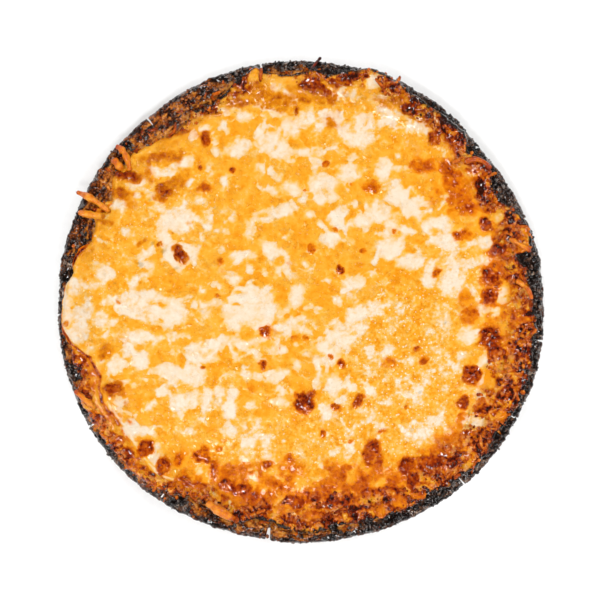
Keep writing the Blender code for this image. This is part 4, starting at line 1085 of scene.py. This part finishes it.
def crumbs(x, y, z, sizes, draw):
    # small lumps: a ball of rings and two poles, each point pushed in or out at random, then stretched to
    # its three sizes, tilted and turned
    rings, sides = scatter["crumbRings"], scatter["crumbSides"]
    count, each = len(x), rings * sides + 2
    polar = np.repeat(np.arange(1, rings + 1) * math.pi / (rings + 1), sides)
    polar = np.concatenate([[0.0], polar, [math.pi]])
    turn = np.concatenate([[0.0], np.tile(np.arange(sides) * math.tau / sides, rings), [0.0]])
    ball = np.stack([np.sin(polar) * np.cos(turn), np.sin(polar) * np.sin(turn), np.cos(polar)], -1)
    shape = ball[None] * draw.uniform(0.75, 1.15, (count, each, 1)) * 0.5 * sizes[:, None, :]
    yaw, tilt = draw.uniform(0, math.tau, count), draw.normal(0, 0.45, count)
    px, py, pz = np.moveaxis(shape, -1, 0)
    c, s = np.cos(tilt)[:, None], np.sin(tilt)[:, None]
    px, pz = px * c + pz * s, pz * c - px * s
    c, s = np.cos(yaw)[:, None], np.sin(yaw)[:, None]
    px, py = px * c - py * s, px * s + py * c
    points = np.stack([px + x[:, None], py + y[:, None], pz + z[:, None]], -1)
    column = np.arange(sides)
    beside = (column + 1) % sides
    last = 1 + (rings - 1) * sides
    top = np.stack([np.zeros(sides, int), 1 + column, 1 + beside], -1)
    base = np.stack([np.full(sides, each - 1), last + beside, last + column], -1)
    start = each * np.arange(count)[:, None, None]
    quads, triangles = 1 + ringFaces(rings, sides) + start, np.concatenate([top, base]) + start
    return points.reshape(-1, 3), quads.reshape(-1, 4), triangles.reshape(-1, 3), each


def bars(path, width, sides, flatness=1.0):
    # round bars along paths (bar, step, place): a ring of points square to the path at each step, and a
    # point at each end
    count, steps = path.shape[:2]
    along = np.gradient(path, axis=1)
    along = along / np.linalg.norm(along, axis=-1, keepdims=True)
    across = np.cross(along, [0.0, 0.0, 1.0])
    across = across / np.maximum(np.linalg.norm(across, axis=-1, keepdims=True), 1e-6)
    upward = np.cross(across, along)
    turn = np.arange(sides) * math.tau / sides
    spread = across[:, :, None] * np.cos(turn)[:, None]
    spread = spread + flatness * upward[:, :, None] * np.sin(turn)[:, None]
    rings = path[:, :, None] + 0.5 * width[:, :, None, None] * spread
    tips = along[:, [0, -1]] * width[:, [0, -1], None] * np.array([-0.4, 0.4])[None, :, None]
    ends = path[:, [0, -1]] + tips
    each = steps * sides + 2
    points = np.concatenate([rings.reshape(count, -1, 3), ends], 1).reshape(-1, 3)
    quads = ringFaces(steps, sides)[:, ::-1]
    column = np.arange(sides)
    beside = (column + 1) % sides
    first = np.stack([np.full(sides, each - 2), beside, column], -1)[:, ::-1]
    last = (steps - 1) * sides
    final = np.stack([np.full(sides, each - 1), last + column, last + beside], -1)[:, ::-1]
    start = each * np.arange(count)[:, None, None]
    triangles = np.concatenate([first, final])
    return points, (quads + start).reshape(-1, 4), (triangles + start).reshape(-1, 3), each


def makeShards():
    draw = np.random.default_rng(7)
    x, y, surface = scatterPlaces(scatter["shards"], draw, friedChance)
    length, sizes = scraps(draw, len(x), scatter["shardSize"], scatter["shardThickness"])
    points, quads, triangles, each = crumbs(x, y, surface["height"] + 0.02 * length, sizes, draw)
    tone = 0.46 + 0.3 * lumps(x, y, 0.0, 7.0, 211, 2) + draw.normal(0, 0.14, len(x))
    tone = np.clip(tone + 0.2 * (surface["slope"] > 0.3), 0.3, 1.0)
    fields = {"tone": np.repeat(tone, each)}
    addPiece("friedCrumbs", points, quads, triangles, fields, friedFinish("friedCrumbs"), "cheese")


def makeStrands():
    draw = np.random.default_rng(19)
    x, y, surface = scatterPlaces(scatter["strands"], draw, friedChance)
    count = len(x)
    low, high = scatter["strandLength"]
    length = low + (high - low) * draw.random(count) ** 1.6
    heading = draw.uniform(0, math.tau, count)
    bend = draw.normal(0, 0.5, count)
    t = np.linspace(-0.5, 0.5, scatter["strandSteps"])
    # each runs straight along its heading and bows to one side by a parabola
    side = bend[:, None] * (t ** 2 - 0.12) * length[:, None]
    px = x[:, None] + length[:, None] * t * np.cos(heading)[:, None] - side * np.sin(heading)[:, None]
    py = y[:, None] + length[:, None] * t * np.sin(heading)[:, None] + side * np.cos(heading)[:, None]
    low, high = scatter["strandWidth"]
    width = (low + (high - low) * draw.random(count))[:, None] * (1.1 - 1.6 * t ** 2)
    ground = topHeight(px.ravel(), py.ravel())["height"].reshape(px.shape)
    # it sinks a little into what it lies on, and bridges the pits there
    pz = 0.75 * ground + 0.25 * ground.mean(1, keepdims=True) + 0.08 * width
    path, flatness = np.stack([px, py, pz], -1), scatter["strandFlatness"]
    points, quads, triangles, each = bars(path, width, scatter["strandSides"], flatness)
    tone = np.clip(draw.normal(0.44, 0.12, count) + 0.15 * (surface["slope"] > 0.3), 0.3, 0.7)
    fields = {"tone": np.repeat(tone, each)}
    addPiece("friedStrands", points, quads, triangles, fields, friedFinish("friedStrands"), "cheese")


def makeGrit():
    draw = np.random.default_rng(23)
    x, y, surface = scatterPlaces(scatter["grit"], draw, bareChance)
    length, sizes = scraps(draw, len(x), scatter["gritSize"], scatter["gritThickness"])
    points, quads, triangles, each = crumbs(x, y, surface["height"] + 0.05 * length, sizes, draw)
    cloudy = 0.3 * lumps(x, y, 0.0, 6.0, 231, 2)
    tone = np.clip(0.22 + cloudy + draw.normal(0, 0.14, len(x)) + 0.45 * (1 - surface["dark"]), 0, 1)
    fields = {"tone": np.repeat(tone, each)}
    addPiece("charredGrit", points, quads, triangles, fields, gritFinish(), "crust", False)


def friedFinish(name):
    finish = Finish(name, Roughness=0.3, Coat_Roughness=0.06, Specular_IOR_Level=0.22)
    fine, middle = finish.noise(1.1, 2), finish.noise(2.8, 3)
    toast = finish.field("tone") + (fine - 0.5) * 0.4 + (middle - 0.5) * 1.0
    finish.feed("Base Color", finish.ramp(toast, [
        (0.0, 250, 186, 104), (0.2, 244, 144, 44), (0.36, 222, 106, 24), (0.5, 190, 82, 20),
        (0.64, 156, 56, 12), (0.8, 116, 34, 6), (0.95, 52, 14, 6)]))
    finish.feed("Roughness", (fine - 0.25) * 0.4 + 0.06)
    finish.feed("Coat Weight", (middle - 0.35) * 0.8)
    finish.relief(finish.facets(1.2) + middle * 0.6, 0.8)
    return finish


def gritFinish():
    finish = Finish("charredGrit", Roughness=0.3, Coat_Roughness=0.1, Specular_IOR_Level=0.5)
    fine = finish.noise(0.7, 3)
    # charcoal scraps, whose grey stops are partly ash and partly painted glints, and brown ones on the brown
    # side
    finish.feed("Base Color", finish.ramp(finish.field("tone") + (fine - 0.5) * 0.6, [
        (0.05, 8, 6, 7), (0.25, 30, 22, 20), (0.4, 84, 72, 66), (0.5, 150, 140, 132), (0.58, 84, 40, 20),
        (0.95, 190, 106, 40)]))
    finish.feed("Roughness", (fine - 0.3) * 1.2 + 0.12)
    finish.feed("Coat Weight", (fine - 0.3) * 0.8)
    finish.relief(fine, 0.3)
    return finish


shreds = {
    "steps": 14,
    "sides": 10,
    "highest": 17.9,
    "gap": 0.3,              # over the rim
    "tips": 0.24,            # how much browner the outer tips are
    # thickness, how browned, and three points from the cheese outwards, in millimetres
    "each": [
        (3.4, 0.2, (-99.8, 46.8), (-108.6, 53.2), (-116.4, 56.8)),
        (3.5, 0.14, (-103.0, 44.4), (-110.0, 45.2), (-115.0, 46.2)),
        (3.3, 0.26, (-89.0, 68.4), (-91.6, 76.8), (-95.6, 80.4)),
        (3.4, 0.24, (-92.0, 68.0), (-94.8, 70.6), (-97.2, 74.0)),
        (2.8, 0.24, (-106.6, -55.4), (-111.6, -50.8), (-116.4, -46.6)),
        (4.3, 0.24, (-48.4, -104.6), (-41.0, -109.4), (-33.2, -113.4)),
        (2.8, 0.46, (86.0, 73.0), (92.4, 73.4), (98.0, 69.2)),
        (2.6, 0.24, (108.4, 32.6), (114.4, 29.0), (118.6, 26.2)),
        (2.8, 0.28, (112.4, 10.6), (117.0, 7.0), (119.4, 1.6)),
        (1.7, 0.95, (5.4, 120.6), (8.2, 124.6), (10.2, 127.0)),
    ],
}


def makeShreds():
    # each follows the smooth curve (quadratic) through its three points and thins at both ends
    t = np.linspace(0, 1, shreds["steps"])
    marks = np.array([row[2:] for row in shreds["each"]])
    weights = np.stack([(2 * t - 1) * (t - 1), 4 * t * (1 - t), t * (2 * t - 1)], -1)
    place = np.einsum("tk,bkc->btc", weights, marks)
    x, y = place[..., 0], place[..., 1]
    thick = np.array([row[0] for row in shreds["each"]])[:, None]
    width = thick * (0.8 + 0.2 * np.sin(math.pi * t) ** 0.5)
    width = width * (1 + 0.3 * lumps(x, y, 0.0, 2.2, 201, 2))
    # it lies on the rim or on the cheese, whichever is higher there
    radius, angle = np.hypot(x, y), np.arctan2(y, x)
    onRim = crustTop(radius, angle) + shreds["gap"] + 0.5 * thick
    surface = meltedSurface(x.ravel(), y.ravel())["height"].reshape(radius.shape)
    onCheese = np.where(radius < cheeseEdge(angle), surface + 0.2 * thick, 0.0)
    z = np.minimum(np.maximum(onRim, onCheese), shreds["highest"] - 0.5 * width)
    path = np.concatenate([place, z[..., None]], -1)
    points, quads, triangles, each = bars(path, width, shreds["sides"])
    tips = np.repeat(shreds["tips"] * smooth(0.55, 1.0, t), shreds["sides"])
    tips = np.concatenate([tips, [0.0, shreds["tips"]]])
    tone = np.array([row[1] for row in shreds["each"]])[:, None] + tips
    addPiece("meltedShreds", points, quads, triangles, {"tone": tone}, shredFinish(), "cheese")


def shredFinish():
    fixed = {"Roughness": 0.3, "Specular_IOR_Level": 0.45, "Coat_Weight": 0.3, "Coat_Roughness": 0.1}
    finish = Finish("meltedShreds", **fixed)
    fine, middle = finish.noise(0.9, 3), finish.noise(2.6, 3)
    toast = finish.field("tone") + (middle - 0.5) * 0.9 + (fine - 0.5) * 0.4
    finish.feed("Base Color", toastedColor(finish, toast))
    finish.feed("Roughness", (fine - 0.3) * 0.8 + 0.16)
    finish.relief(fine * 0.6 + middle * 0.6, 0.5)
    return finish


studio = {
    "world": 0.05,           # the light that the room gives
    "wall": 1.0,             # and how bright a low camera sees it behind the floor
    "fillPower": 9.3,        # wide soft lights that don't glint
    "fillSize": 0.9,
    "fillPlaces": [(-1.1, 0.1, 0.85), (1.1, 0.1, 0.85), (0.0, 1.15, 0.9), (0.3, -1.15, 0.9)],
    "keyPower": 1.7,         # small lights that glint on the fat
    "keySize": 0.13,
    "keyPlaces": [(-0.5, -0.6, 0.48), (0.3, -0.72, 0.48), (-0.1, -0.36, 0.86), (0.62, 0.36, 0.5),
                  (-0.4, 0.62, 0.5)],
    "lens": 85.0,
    "focusHeight": 12.0,     # millimetres above the floor, where a pixel is the photograph's
    "floorHalf": 0.8,        # metres
    "floorTones": [(0.3, (0.87, 0.87, 0.865, 1)), (0.7, (0.9, 0.9, 0.895, 1))],
}


def addArea(name, power, size, place, shines):
    # a square light that faces the pizza
    data = bpy.data.lights.new(name, "AREA")
    data.energy, data.size, data.shape = power, size, "SQUARE"
    lamp = bpy.data.objects.new(name, data)
    bpy.context.scene.collection.objects.link(lamp)
    lamp.location = place
    lamp.rotation_euler = (-lamp.location).to_track_quat("-Z", "Y").to_euler()
    lamp.visible_glossy = shines


def makeStudio():
    scene = bpy.context.scene
    scene.view_settings.view_transform = "Standard"
    world = bpy.data.worlds.new("softRoom")
    world.use_nodes = True
    nodes, links = world.node_tree.nodes, world.node_tree.links
    mixed = nodes.new("ShaderNodeMixShader")
    links.new(nodes.new("ShaderNodeLightPath").outputs["Is Camera Ray"], mixed.inputs[0])
    for number, strength in enumerate((studio["world"], studio["wall"])):
        room = nodes.new("ShaderNodeBackground")
        room.inputs["Color"].default_value = (1.0, 1.0, 1.0, 1.0)
        room.inputs["Strength"].default_value = strength
        links.new(room.outputs[0], mixed.inputs[1 + number])
    links.new(mixed.outputs[0], nodes["World Output"].inputs["Surface"])
    scene.world = world
    for number, place in enumerate(studio["fillPlaces"]):
        addArea(f"fill{number}", studio["fillPower"], studio["fillSize"], place, False)
    for number, place in enumerate(studio["keyPlaces"]):
        addArea(f"key{number}", studio["keyPower"], studio["keySize"], place, True)
    half = studio["floorHalf"] / mm
    corners = [[-half, -half, 0], [half, -half, 0], [half, half, 0], [-half, half, 0]]
    floorFinish = Finish("paleFloor", Roughness=0.7)
    sockets = {"Fac": floorFinish.noise(4.0, 2)}
    tones = floorFinish.node("ShaderNodeValToRGB", {"stops": studio["floorTones"]}, sockets)
    floorFinish.feed("Base Color", tones)
    floor = addPiece("floor", np.array(corners) - [0, 0, 0.02], [[0, 1, 2, 3]], [], {}, floorFinish, None)
    cameraData = bpy.data.cameras.new("photoCamera")
    cameraData.lens = studio["lens"]
    camera = bpy.data.objects.new("photoCamera", cameraData)
    scene.collection.objects.link(camera)
    # the distance at which the photograph's width fills the frame
    distance = photo["width"] * photo["pixel"] * studio["lens"] / cameraData.sensor_width
    offsetX, offsetY = fromPhoto(photo["width"] / 2, photo["width"] / 2)
    camera.location = (offsetX * mm, offsetY * mm, (distance + studio["focusHeight"]) * mm)
    scene.camera = camera
    print("light, floor and camera are in place")


makeStudio()
makeCrust()
makeCheese()
makeShards()
makeStrands()
makeGrit()
makeShreds()
